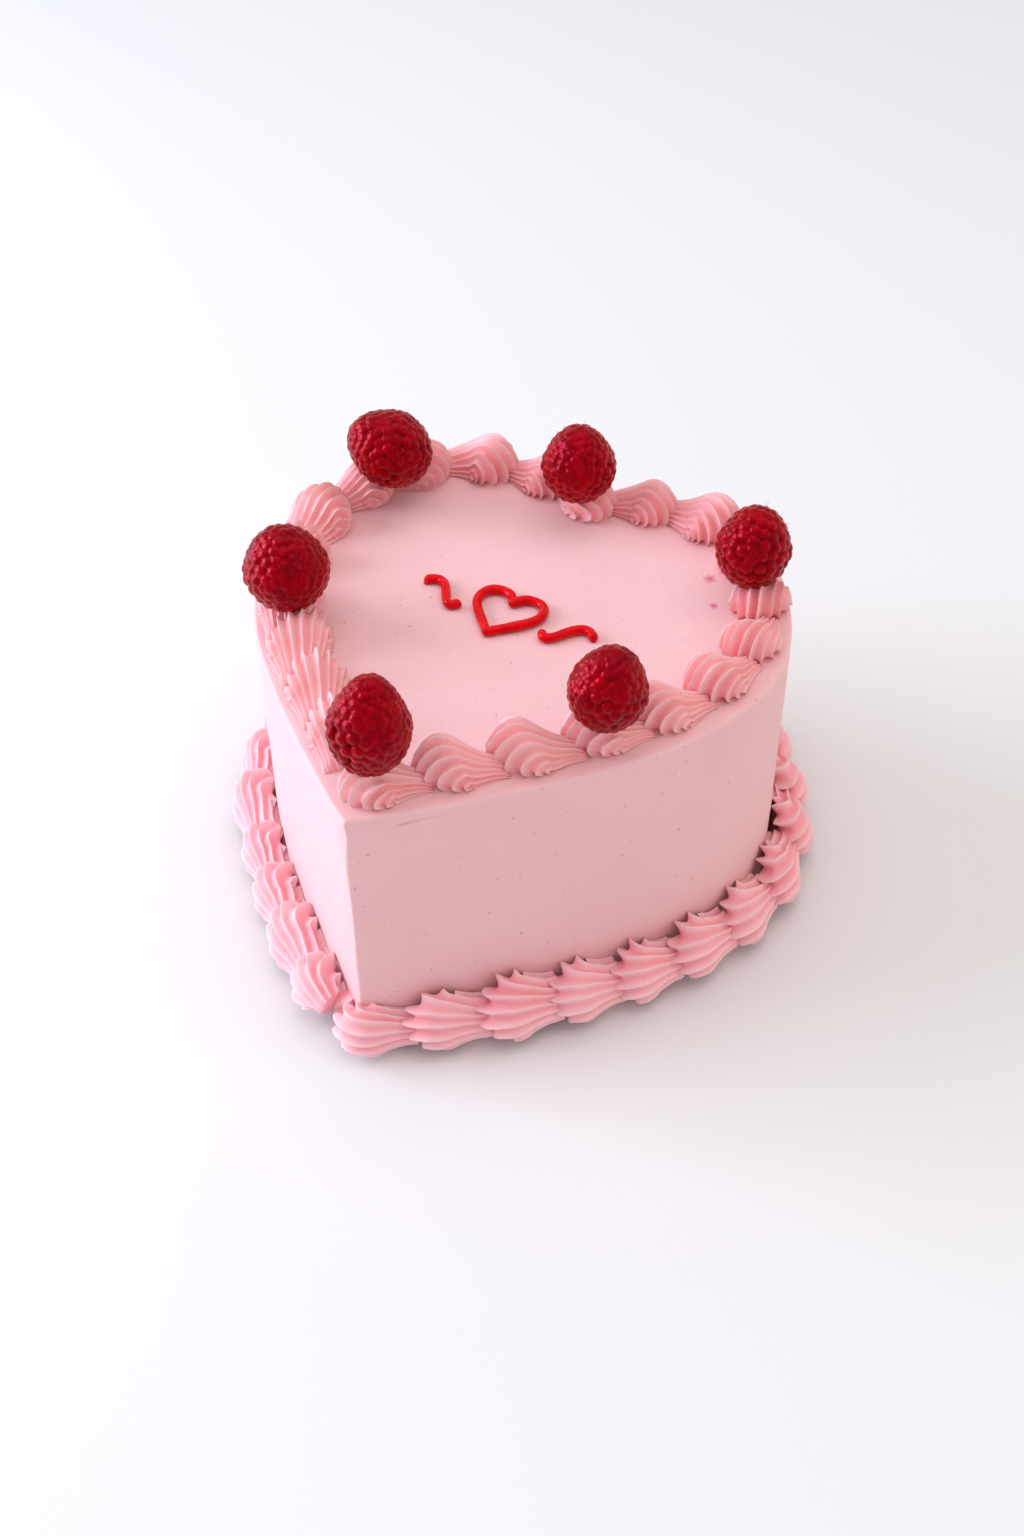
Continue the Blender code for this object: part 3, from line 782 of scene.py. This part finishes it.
def berry_turn(lean, lean_way):
    """Turns an upright berry so that its point leans towards a compass direction."""
    way = Matrix.Rotation(math.radians(lean_way), 3, "Z")
    return np.array(way @ Matrix.Rotation(math.radians(lean), 3, "Y"))


def berry_lowest(turn, width, height):
    """How far the lowest point of the leaning egg is below its middle."""
    return math.sqrt((turn[2, 0] * width / 2) ** 2 + (turn[2, 1] * width / 2) ** 2
                     + (turn[2, 2] * height / 2) ** 2)


def berry_middle(turn, place, width, height, seat):
    """The middle of a berry that rests at its seat above the icing."""
    return np.array((*from_tip(*place), CAKE_HEIGHT + seat + berry_lowest(turn, width, height)))


print("berries from %.0f to %.0f mm high" % (1000 * min(berry[3] for berry in RASPBERRIES),
                                             1000 * max(berry[3] for berry in RASPBERRIES)))

# %% Icing pressed down by the berries
PRESSED_INTO_BERRY = 0.0008


def berry_frames():
    """The middle of each berry, and the form whose value is 1 all over its egg."""
    frames = []
    for _, place, width, height, seat, lean, lean_way, _ in RASPBERRIES:
        turn = berry_turn(lean, lean_way)
        middle = berry_middle(turn, place, width, height, seat)
        form = turn @ np.diag((4 / width ** 2, 4 / width ** 2, 4 / height ** 2)) @ turn.T
        frames.append((middle, form))
    return frames


def pressed_by_berries(points):
    """The points, with those under a berry pushed down to just inside its underside."""
    points = points.copy()
    for middle, form in berry_frames():
        x, y = (points[:, :2] - middle[:2]).T
        across = form[0, 2] * x + form[1, 2] * y
        flat = form[0, 0] * x * x + 2 * form[0, 1] * x * y + form[1, 1] * y * y - 1
        inside = across ** 2 - form[2, 2] * flat
        under = inside > 0
        lowest = middle[2] + (-across[under] - np.sqrt(inside[under])) / form[2, 2]
        points[under, 2] = np.minimum(points[under, 2], lowest + PRESSED_INTO_BERRY)
    return points


print(len(berry_frames()), "berries press on the top border")


# %% Set one shell on its line
COARSE_GRAIN, COARSE_ROUGHNESS = 0.0045, 0.00020
FINE_GRAIN, FINE_ROUGHNESS = 0.0013, 0.00006
ROUGH_SIDEWAYS = 0.7
ABOVE_TABLE = 0.0001
INTO_WALL = 0.0004
SHORTEST_REACH, MOST_SPREAD = 0.0012, 3
INNER_EDGE_DROP = 0.0012


def piped_shell(name, line, form, start, size, stretch, level, chance):
    """One shell on its line, with its head at the start distance."""
    rows, hollow = shell_rows(form, chance)
    count, across = rows.shape[:2]
    flat = rows.reshape(-1, 3) * (stretch, size, size)
    outward = np.array((math.cos(form["lean"]), math.sin(form["lean"])))
    sideways = flat[:, 1] * outward[1] + flat[:, 2] * outward[0]
    up = form["up"] * (size if level == 0 else 1)
    up = up - flat[:, 1] * outward[0] + flat[:, 2] * outward[1]
    points = np.column_stack((start + flat[:, 0], sideways, up)).reshape(count, across, 3)
    if level == 0:
        points = against_wall(points, line)
        hollow = np.append(hollow, (1.0, 1.0))
        across += 2
    distance, sideways, up = points.reshape(-1, 3).T
    if level:
        push, wide = top_border_fit(line.place(distance, np.zeros(len(distance))))
        sideways, up = push + sideways * wide, up * (1 + wide) / 2
    points = np.column_stack((line.place(distance, sideways), level + up))
    seed = chance.uniform(0, 50)
    rough = (soft_noise(points, COARSE_GRAIN, seed) * COARSE_ROUGHNESS
             + soft_noise(points, FINE_GRAIN, seed) * FINE_ROUGHNESS)
    points[:, :2] += (rough * ROUGH_SIDEWAYS)[:, None] * [1, -1]
    points[:, 2] += rough
    if level:
        points = pressed_by_berries(points)
    else:
        points[:, 2] = np.maximum(points[:, 2], ABOVE_TABLE)
    piece = sheet_object(name, points.reshape(count, across, 3))
    crest = piece.data.attributes.new("crest", "FLOAT", "POINT")
    crest.data.foreach_set("value", np.tile(1 - np.clip(hollow, 0, 1), count))
    return piece


def against_wall(points, line):
    """Spreads a foot shell to the wall, and closes each slice along the floor and the wall."""
    middle = points[:, points.shape[1] // 2, 0]
    clear = distance_to_outline(line.place(middle, np.zeros(len(middle))))[:, None]
    sideways = points[:, :, 1]
    reach = np.maximum(SHORTEST_REACH, -sideways.min(axis=1, keepdims=True))
    spread = np.clip((clear + INTO_WALL / 2) / reach, 1, MOST_SPREAD)
    sideways = np.where(sideways < 0, sideways * spread, sideways)
    points[:, :, 1] = np.maximum(sideways, -clear - INTO_WALL)
    first, last = points[:, :1].copy(), points[:, -1:].copy()
    first[:, :, 1] = last[:, :, 1] = -clear - INTO_WALL
    first[:, :, 2] = np.maximum(first[:, :, 2] - INNER_EDGE_DROP, ABOVE_TABLE)
    last[:, :, 2] = ABOVE_TABLE
    return np.concatenate((points, last, first), axis=1)


print("foot shells reach %.1f mm into the wall and stop %.1f mm above the table"
      % (1000 * INTO_WALL, 1000 * ABOVE_TABLE))


# %% Pipe both borders
TOP_SHELL_COUNT = 22
BASE_SHELL_COUNT = 27
PITCH = 0.0200
PITCH_SPREAD = 0.07
SIZE_SPREAD = 0.03
FOOT_TIP_SIZE = 0.88
PIPING_SEED = 11


def uneven_pitches(count, chance):
    """Ends of the shells as shares of the whole line, a little uneven."""
    steps = [1 + chance.uniform(-PITCH_SPREAD, PITCH_SPREAD) for _ in range(count)]
    ends = np.concatenate(([0], np.cumsum(steps)))
    return ends / ends[-1]


def piped_border(prefix, line, form, count, level, seed):
    """All the shells of one border."""
    steps = random.Random(seed)
    ends = uneven_pitches(count, steps) * line.length
    shells = []
    for number, (start, end) in enumerate(zip(ends, ends[1:]), 1):
        chance = random.Random(100 * seed + number)
        stretch = (end - start) / PITCH
        size = stretch * chance.uniform(1 - SIZE_SPREAD, 1 + SIZE_SPREAD)
        fitted = dict(form)
        middle = line.place(np.array([(start + end) / 2]), np.zeros(1))
        if level:
            fitted["tail_width"] += TOP_TAIL_SWELL * (top_border_fit(middle)[1][0] - 1)
            if number == count:
                fitted["outer_tail"] = TOP_LAST_OUTER_TAIL
        else:
            size *= FOOT_TIP_SIZE + (1 - FOOT_TIP_SIZE) * away_from_tip(middle)[0]
            if number == count:
                fitted = LAST_FOOT_FORM
        shells.append(piped_shell(f"{prefix}_{number:02d}_piped", line, fitted, start, size,
                                  stretch, level, chance))
    return shells


top_shells = piped_border("top_shell", top_line, TOP_FORM, TOP_SHELL_COUNT, CAKE_HEIGHT,
                          PIPING_SEED)
base_shells = piped_border("base_shell", base_line, FOOT_FORM, BASE_SHELL_COUNT, 0,
                           PIPING_SEED + 1)
print(len(top_shells), "top shells and", len(base_shells), "foot shells")

# %% [markdown]
# Piped buttercream is pinker than the scraped icing. Its crests are painted paler, a painted
# highlight where thin icing would catch the light, and its hollows glow, because light bounces
# between their walls and sinks into the fat. The mesh knows where its crests are, so it hands the
# finish that as a number at each point, and the finish paints the highlight there. The rest is
# some light that travels under the surface and a very fine grain of sugar.

# %% Finish of the piped icing
SPECK_RED = (0.60, 0.16, 0.20)
SUGAR_GRAIN = 0.00012


def piped_icing(name, colour, deeper, crest_highlight_colour):
    """A pink with deeper patches, a painted highlight on the crests and a few red specks."""
    finish = Finish(name, colour, 0.46, {
        "Subsurface Weight": 0.12, "Subsurface Radius": (0.0022, 0.0006, 0.0005),
        "Subsurface Scale": 1.0, "Specular IOR Level": 0.28})
    patches = finish.cloud(0.014, 2.0, seed=4).between(0.3, 0.7)
    specks = finish.cloud(0.0013, 1.0, seed=31).between(0.76, 0.80)
    crest = finish.node("ShaderNodeAttribute", {"attribute_name": "crest", "output": 2})
    # Painted highlight: the crests are blended towards a paler pink.
    crest_highlighted = finish.blend(crest * 0.9, finish.blend(patches, colour, deeper), crest_highlight_colour)
    finish.colour(finish.blend(specks * 0.5, crest_highlighted, SPECK_RED))
    finish.roughness(finish.cloud(0.005, seed=12).between(0.2, 0.8) * 0.16 + 0.38)
    finish.relief(finish.cloud(0.0009, 3.0, seed=6) - specks * 0.5, SUGAR_GRAIN)
    return finish.material


# The last colour of each pink is the painted highlight on its crests.
top_piping = piped_icing("top_piping", (0.92, 0.360, 0.375), (0.90, 0.320, 0.340),
                         (0.94, 0.590, 0.605))
base_piping = piped_icing("base_piping", (0.93, 0.365, 0.405), (0.91, 0.325, 0.370),
                          (0.95, 0.620, 0.650))
for number, shell in enumerate(top_shells, 1):
    dress(shell, top_piping, "top_piping", f"top_shell_{number:02d}")
for number, shell in enumerate(base_shells, 1):
    dress(shell, base_piping, "base_piping", f"base_shell_{number:02d}")
print("two pinks of piping on", len(top_shells + base_shells), "shells")

# %% [markdown]
# A raspberry is a hollow cone of small juicy beads, each a little fruit of its own, packed in
# rows. Balls set side by side would do from far off, but they would hide hundreds of faces inside
# one another. Here each berry is a round form of rays instead: along every ray, the surface lies
# where the ray leaves the outermost bead. That gives one closed skin with deep creases and no
# hidden insides. The berry that lies on its side shows a small pit at its end.

# %% Where the beads of a raspberry are
BEAD_SPACING = 0.0028
BEAD_RADIUS = 0.0023
SPREADING_ROUNDS = 14


def egg(rays, width, height, taper):
    """Points of the smooth egg along rays from its middle; it narrows towards its top."""
    ring = width / 2 * (1 - taper * np.maximum(0, rays[:, 2:]))
    return rays * np.hstack((ring, ring, np.full_like(ring, height / 2)))


def bead_centres(rays, width, height, taper, chance):
    """Beads spread evenly over the egg: each one moves to the middle of its own patch."""
    surface = egg(rays, width, height, taper)
    weight = (1 - taper * np.maximum(0, rays[:, 2])) ** 2
    area = math.pi * width * (0.35 * width + 0.65 * height)
    count = int(area / BEAD_SPACING ** 2)
    centres = surface[chance.sample(range(len(surface)), count)]
    for _ in range(SPREADING_ROUNDS):
        owner = ((surface[:, None] - centres[None]) ** 2).sum(2).argmin(1)
        total = np.bincount(owner, weight, count)
        for axis in range(3):
            middle = np.bincount(owner, weight * surface[:, axis], count)
            centres[:, axis] = np.where(total > 0, middle / np.maximum(total, 1e-9),
                                        centres[:, axis])
        centres = surface[((surface[:, None] - centres[None]) ** 2).sum(2).argmin(0)]
    return centres * (1 - BEAD_RADIUS / np.linalg.norm(centres, axis=1))[:, None]


print("beads %.1f mm across, %.1f mm apart" % (2000 * BEAD_RADIUS, 1000 * BEAD_SPACING))


# %% Raspberry skins
SKIN_DIVISIONS = 6
BEAD_SIDE, BEAD_TOP = 0.5, 0.9
RADIUS_RANGE = (0.93, 1.05)
PITTED_BERRY = "left_lobe"
PIT_WAY = (0.686, -0.529, 0.499)
PIT_RADIUS = 0.0020
PIT_DEPTH = 0.0020


def beaded_skin(rays, centres, radii):
    """Distance from the middle to the skin along each ray, and 1 on the beads' tops."""
    ahead = rays @ centres.T
    left = radii ** 2 - (centres ** 2).sum(1) + ahead ** 2
    reach = np.where(left > 0, ahead + np.sqrt(np.maximum(left, 0)), 0)
    bead, reach = reach.argmax(1), reach.max(1)
    steep = ((rays * reach[:, None] - centres[bead]) * rays).sum(1) / radii[bead]
    return reach, np.clip((steep - BEAD_SIDE) / (BEAD_TOP - BEAD_SIDE), 0, 1)


def unit_rays(subdivisions):
    """Directions spread evenly over a ball, and the triangles between them."""
    form = bmesh.new()
    bmesh.ops.create_icosphere(form, subdivisions=subdivisions, radius=1.0)
    rays = np.array([vert.co[:] for vert in form.verts])
    faces = [[vert.index for vert in face.verts] for face in form.faces]
    form.free()
    return rays / np.linalg.norm(rays, axis=1)[:, None], faces


def raspberry(name, place, width, height, seat, lean, lean_way, taper, seed):
    """The skin of one berry and the tops of its beads."""
    chance = random.Random(seed)
    rays, faces = RAYS
    centres = bead_centres(rays, width, height, taper, chance)
    radii = np.array([BEAD_RADIUS * chance.uniform(*RADIUS_RANGE) for _ in centres])
    reach, bead_top = beaded_skin(rays, centres, radii)
    turn = berry_turn(lean, lean_way)
    if name == PITTED_BERRY:
        near = np.arccos(np.clip(rays @ (np.array(PIT_WAY) @ turn), -1, 1)) * reach / PIT_RADIUS
        reach -= PIT_DEPTH * (1 - eased(near))
    middle = berry_middle(turn, place, width, height, seat)
    skin = (rays * reach[:, None]) @ turn.T + middle
    tops = (centres * (1 + radii / np.linalg.norm(centres, axis=1))[:, None]) @ turn.T + middle
    piece = mesh_object(f"raspberry_{name}_skin", skin, faces)
    piece.data.attributes.new("bead_top", "FLOAT", "POINT").data.foreach_set("value", bead_top)
    return piece, tops, middle


RAYS = unit_rays(SKIN_DIVISIONS)
berries = {berry[0]: raspberry(*berry, 40 + number) for number, berry in enumerate(RASPBERRIES)}
print(len(berries), "raspberries of", len(RAYS[0]), "points each")

# %% [markdown]
# Fresh raspberries keep a few dry hairs, one on some of the beads. They are thinner than a tenth
# of a millimetre, but they show as a fuzz round the berry. A hair system would be quicker to set
# up, but it isn't a mesh that can be handed on, so each hair is a thin three-sided spike that
# bends a little.

# %% Hairs on the berries
HAIR_RADIUS = 0.000042
HAIR_LENGTHS = (0.0010, 0.0026)
HAIR_SHARE = 0.18
HAIR_BEND = 0.45
HAIR_THINNING = 0.8
ROOM_USED = 0.8
SHORTEST_HAIR = 0.0004
HAIR_ROOT_DEPTH = 0.0002
UNDERSIDE = -0.35


def hair(root, outward, length, chance):
    """Points and faces of one bent spike."""
    side = np.cross(outward, (0.3, 0.2, 0.93))
    side /= np.linalg.norm(side)
    other = np.cross(outward, side)
    bend = (side * chance.uniform(-1, 1) + other * chance.uniform(-1, 1)) * HAIR_BEND * length
    points, faces = [], []
    for step in range(4):
        share = step / 3
        centre = root + outward * length * share + bend * share ** 2
        thick = HAIR_RADIUS * (1 - HAIR_THINNING * share)
        for corner in range(3):
            turn = 2 * math.pi * corner / 3
            points.append(centre + thick * (side * math.cos(turn) + other * math.sin(turn)))
            if step < 3:
                low, beside = 3 * step + corner, 3 * step + (corner + 1) % 3
                faces.append([low, beside, beside + 3, low + 3])
    return points, faces + [[2, 1, 0], [9, 10, 11]]


def berry_hairs(name, tops, middle, chance):
    """The hairs of one berry, kept short where they would stand above the solid."""
    points, faces = [], []
    for top in tops:
        outward = (top - middle) / np.linalg.norm(top - middle)
        if outward[2] < UNDERSIDE or chance.random() > HAIR_SHARE:
            continue
        room = (cad_box[1][2] - top[2]) * ROOM_USED
        length = min(chance.uniform(*HAIR_LENGTHS),
                     max(SHORTEST_HAIR, room / max(0.2, outward[2])))
        made, sides = hair(top - outward * HAIR_ROOT_DEPTH, outward, length, chance)
        faces += [[corner + len(points) for corner in side] for side in sides]
        points += made
    return mesh_object(f"raspberry_{name}_hairs", points, faces)


hairs = {name: berry_hairs(name, tops, middle, random.Random(70 + number))
         for number, (name, (_, tops, middle)) in enumerate(berries.items())}
print("hairs on the berries:", [len(piece.data.vertices) // 12 for piece in hairs.values()])


# %% [markdown]
# The beads are dark crimson and full of juice. Their tops are wet and throw back small pinkish
# highlights, while the creases between them are dull and painted a darker red as painted shade. A
# clear gloss turns white where a surface is seen at a slant, which would draw a grey rim round
# every bead. A metal's gloss takes the colour of the surface, so the creases are given a large
# share of it and the tops a small one.

# %% Finish of the raspberries
RIPE_RED = (0.36, 0.001, 0.002)
RIPER_RED = (0.22, 0.001, 0.002)
# The creases are painted a darker red than the flesh: painted shade between the beads.
CREASE_SHADE_RED = (0.16, 0.0005, 0.002)
CREASE_ROUGHNESS, TOP_ROUGHNESS = 0.72, 0.08
CREASE_METAL, TOP_METAL = 0.85, 0.12


def raspberry_flesh():
    """Wet crimson bead tops over dull creases painted darker as painted shade, riper in patches.
    """
    finish = Finish("raspberry_flesh", RIPE_RED, 0.28, {
        "Subsurface Weight": 0.2, "Subsurface Radius": (0.003, 0.0003, 0.0003),
        "Subsurface Scale": 1.0, "Specular IOR Level": 0.28,
        "Specular Tint": (1.0, 0.09, 0.34, 1.0)})
    patches = finish.cloud(0.006, 2.0, seed=3).between(0.3, 0.7)
    flesh = finish.blend(patches, RIPE_RED, RIPER_RED)
    bead_top = finish.node("ShaderNodeAttribute", {"attribute_name": "bead_top", "output": 2})
    # Painted shade: the creases take the darker red, and the bead tops take the flesh.
    finish.colour(finish.blend(bead_top, CREASE_SHADE_RED, flesh))
    finish.roughness(CREASE_ROUGHNESS - bead_top * (CREASE_ROUGHNESS - TOP_ROUGHNESS)
                     + finish.cloud(0.0012, seed=8) * 0.10)
    finish.metallic(CREASE_METAL - bead_top * (CREASE_METAL - TOP_METAL))
    finish.relief(finish.cloud(0.0006, 2.0, seed=15), 0.00006)
    return finish.material


def dry_hair():
    """Brown hairs, some darker than others."""
    finish = Finish("raspberry_hair", (0.20, 0.07, 0.05), 0.6)
    finish.colour(finish.blend(finish.cloud(0.002, seed=5), (0.08, 0.02, 0.015),
                               (0.28, 0.08, 0.06)))
    return finish.material


flesh, hair_finish = raspberry_flesh(), dry_hair()
for name, (skin, _, _) in berries.items():
    dress(skin, flesh, "raspberry_flesh", f"raspberry_{name}")
    dress(hairs[name], hair_finish, "raspberry_flesh")
print("finishes", flesh.name, "and", hair_finish.name)

# %% [markdown]
# The ornament is piping gel: a thin line of clear red jelly, round on top and wet. A curve with
# a round bevel would be even all along, so it is drawn as rings along plan points instead,
# thicker where the hand slowed down, with rounded ends, and flat where it lies on the icing.

# %% The gel ornament
GEL_CENTRE_FROM_TIP = 0.0925
GEL_TURN = math.radians(-4.0)
GEL_RADIUS = 0.0014
GEL_SIDES = 20
GEL_STEP = 0.0004
GEL_UNEVENNESS = 0.10
GEL_MIDDLE_UP = 0.80
GEL_FLAT_BELOW = -0.82


def on_top(points):
    """Ornament points, turned and set in the middle of the cake's top."""
    turn = np.array(((math.cos(GEL_TURN), math.sin(GEL_TURN)),
                     (-math.sin(GEL_TURN), math.cos(GEL_TURN))))
    return np.asarray(points) @ turn + from_tip(0, GEL_CENTRE_FROM_TIP)


def gel_line(name, points, closed, chance):
    """A round line of gel; open lines end in a round drop."""
    points = np.vstack((points, points[:1])) if closed else np.asarray(points)
    run = along(points)
    count = int(run[-1] / GEL_STEP)
    at = np.linspace(0, run[-1], count + 1)[:count + (0 if closed else 1)]
    line = np.column_stack([np.interp(at, run, points[:, axis]) for axis in (0, 1)])
    way = np.roll(line, -1, axis=0) - np.roll(line, 1, axis=0)
    if not closed:
        way[0], way[-1] = line[1] - line[0], line[-1] - line[-2]
    way /= np.hypot(*way.T)[:, None]
    uneven = soft_noise(np.column_stack((line, at)), 0.006, chance.uniform(0, 9))
    radius = GEL_RADIUS * (1 + GEL_UNEVENNESS * uneven)
    if not closed:
        end = np.minimum(at, run[-1] - at) / GEL_RADIUS
        radius *= np.sqrt(1 - (1 - np.clip(end, 0.02, 1)) ** 2)
    angle = 2 * math.pi * np.arange(GEL_SIDES) / GEL_SIDES
    side = np.column_stack((way[:, 1], -way[:, 0]))
    rows = []
    for centre, across, thick in zip(line, side, radius):
        plan = centre + across * (thick * np.sin(angle))[:, None]
        up = CAKE_HEIGHT + thick * (GEL_MIDDLE_UP + np.maximum(np.cos(angle), GEL_FLAT_BELOW))
        rows.append(np.column_stack((plan, up)))
    if closed:
        rows.append(rows[0])
    piece = sheet_object(name, rows, not closed, not closed)
    if closed:
        merge_seam(piece)
    return piece


def merge_seam(piece):
    """Joins the last row of a closed line to its first."""
    form = bmesh.new()
    form.from_mesh(piece.data)
    bmesh.ops.remove_doubles(form, verts=form.verts[:], dist=0.00001)
    form.to_mesh(piece.data)
    form.free()


print("gel lines %.1f mm thick" % (2000 * GEL_RADIUS))


# %% Heart and flourishes
GEL_HALF_WIDTH = 0.0100
GEL_TOP = 0.0080
GEL_BOTTOM = np.array((0, -0.0105))
GEL_DIP = np.array((0, 0.0042))
SWING_START, SWING_END = (0.0132, -0.0022), (0.0275, 0.0010)
SWING_PULLS = ((0.0170, -0.0125), (0.0205, 0.0115))


def gel_heart_outline():
    """A small heart: a long curve up the side, two short ones over the lobe, then mirrored."""
    half = GEL_HALF_WIDTH
    crown, side = np.array((half * 0.52, GEL_TOP)), np.array((half, GEL_TOP * 0.35))
    right = np.vstack((
        bezier(GEL_BOTTOM, GEL_BOTTOM + (half * 0.35, half * 0.42), side - (0, half * 0.42),
               side, 30),
        bezier(side, side + (0, half * 0.30), crown + (half * 0.30, 0), crown, 14),
        bezier(crown, crown - (half * 0.28, 0), GEL_DIP + (half * 0.10, half * 0.20),
               GEL_DIP, 14),
        [GEL_DIP],
    ))
    return np.vstack((right, right[-2:0:-1] * (-1, 1)))


swing = np.vstack((bezier(SWING_START, *SWING_PULLS, SWING_END, 60), [SWING_END]))
gel_pieces = {
    "gel_heart": gel_line("gel_heart_line", on_top(gel_heart_outline()), True,
                          random.Random(1)),
    "gel_flourish_right": gel_line("gel_flourish_right_line", on_top(swing), False,
                                   random.Random(2)),
    "gel_flourish_left": gel_line("gel_flourish_left_line", on_top(swing * (-1, 1)), False,
                                  random.Random(3)),
}
print("gel pieces", list(gel_pieces))

# %% [markdown]
# Piping gel is clear red jelly with a wet skin. Real glass-like depth would need light to pass
# through it, which is slow and can't be handed on with the model. The line is thin and lies on
# pale icing, so a strong red with some light under the surface and a thin clear coat looks the
# same.

# %% Finish of the gel
def red_gel():
    """A strong red, deeper in soft patches, under a thin clear coat."""
    finish = Finish("red_gel", (0.62, 0.004, 0.008), 0.12, {
        "Subsurface Weight": 0.15, "Subsurface Radius": (0.003, 0.0003, 0.0003),
        "Subsurface Scale": 1.0, "Specular IOR Level": 0.28,
        "Specular Tint": (1.0, 0.06, 0.14, 1.0), "Coat Weight": 0.12, "Coat Roughness": 0.08})
    thick = finish.cloud(0.004, seed=2).between(0.3, 0.7)
    finish.colour(finish.blend(thick, (0.78, 0.001, 0.004), (0.56, 0.001, 0.004)))
    finish.relief(finish.cloud(0.0025, 1.0, seed=7), 0.00010)
    return finish.material


gel = red_gel()
for node, piece in gel_pieces.items():
    dress(piece, gel, "red_gel", node)
print(gel.name, "on", len(gel_pieces), "pieces")

# %% [markdown]
# The camera stands where the photograph was taken from, in front of the tip, to the right and
# well above. Its place, its turn and its lens were worked out together from points on the cake
# whose places in the model are known, since guessing them one by one never lands on all three.

# %% Camera
camera = bpy.data.objects.new("camera", bpy.data.cameras.new("camera"))
bpy.context.scene.collection.objects.link(camera)
camera.location = (0.1771, -0.3476, 0.3981)
camera.rotation_euler = [math.radians(turn) for turn in (47.139, 0.323, 25.791)]
camera.data.sensor_width = 36.0
camera.data.lens = 42.19
bpy.context.scene.camera = camera
print("camera %.2f m from the cake, lens %.0f mm" % (camera.location.length, camera.data.lens))

# %% [markdown]
# The floor is plain and pale. A large soft lamp stands to the left and a little in front, as a
# window would, with cool light that makes the left wall bright and leaves the front in shade. A
# wide lamp above lights the top, a weak warm one on the right lifts the shaded side, and a bright
# room fills all shadows. One strong lamp alone would leave the hollows of the piping too dark.

# %% Floor and lights
LIT_PLACE = (0, 0, 0.05)
# name, place, width of the square, power in watts, colour
LAMPS = (
    ("window", (-1.30, -0.45, 0.60), 1.0, 20.5, (0.86, 1.02, 1.22)),
    ("ceiling", (0.10, 0.10, 1.60), 1.4, 6.3, (1.04, 0.98, 0.95)),
    ("warm_room", (1.25, 0.35, 0.45), 0.9, 1.8, (1.10, 0.95, 0.45)),
)
ROOM_COLOUR = (1.0, 0.98, 1.01, 1.0)
ROOM_STRENGTH = 0.70
FLOOR_HALF = 4
FLOOR_BELOW = 0.0002


def soft_light(name, place, size, power, colour):
    """A square lamp that points at the cake."""
    lamp = bpy.data.lights.new(name, "AREA")
    lamp.size = size
    lamp.energy = power
    lamp.color = colour
    holder = bpy.data.objects.new(name, lamp)
    bpy.context.scene.collection.objects.link(holder)
    holder.location = place
    aim = Vector(LIT_PLACE) - Vector(place)
    holder.rotation_euler = aim.to_track_quat("-Z", "Y").to_euler()


def pale_floor():
    """A wide plain floor just below the cake."""
    finish = Finish("pale_floor", (0.79, 0.775, 0.775), 0.6)
    half = FLOOR_HALF
    floor = mesh_object("floor", [(-half, -half, 0), (half, -half, 0), (half, half, 0),
                                  (-half, half, 0)], [[0, 1, 2, 3]])
    floor.location.z = -FLOOR_BELOW
    floor.data.materials.append(finish.material)


pale_floor()
for lamp in LAMPS:
    soft_light(*lamp)
world = bpy.data.worlds.new("room")
world.use_nodes = True
world.node_tree.nodes["Background"].inputs["Color"].default_value = ROOM_COLOUR
world.node_tree.nodes["Background"].inputs["Strength"].default_value = ROOM_STRENGTH
bpy.context.scene.world = world
bpy.context.scene.view_settings.view_transform = "Standard"
print("floor,", len(LAMPS), "lamps and a bright room")

# %% [markdown]
# A dressed model is only of use if it keeps the size of the solid one.

# %% Bring the scene up to date
bpy.context.view_layer.update()
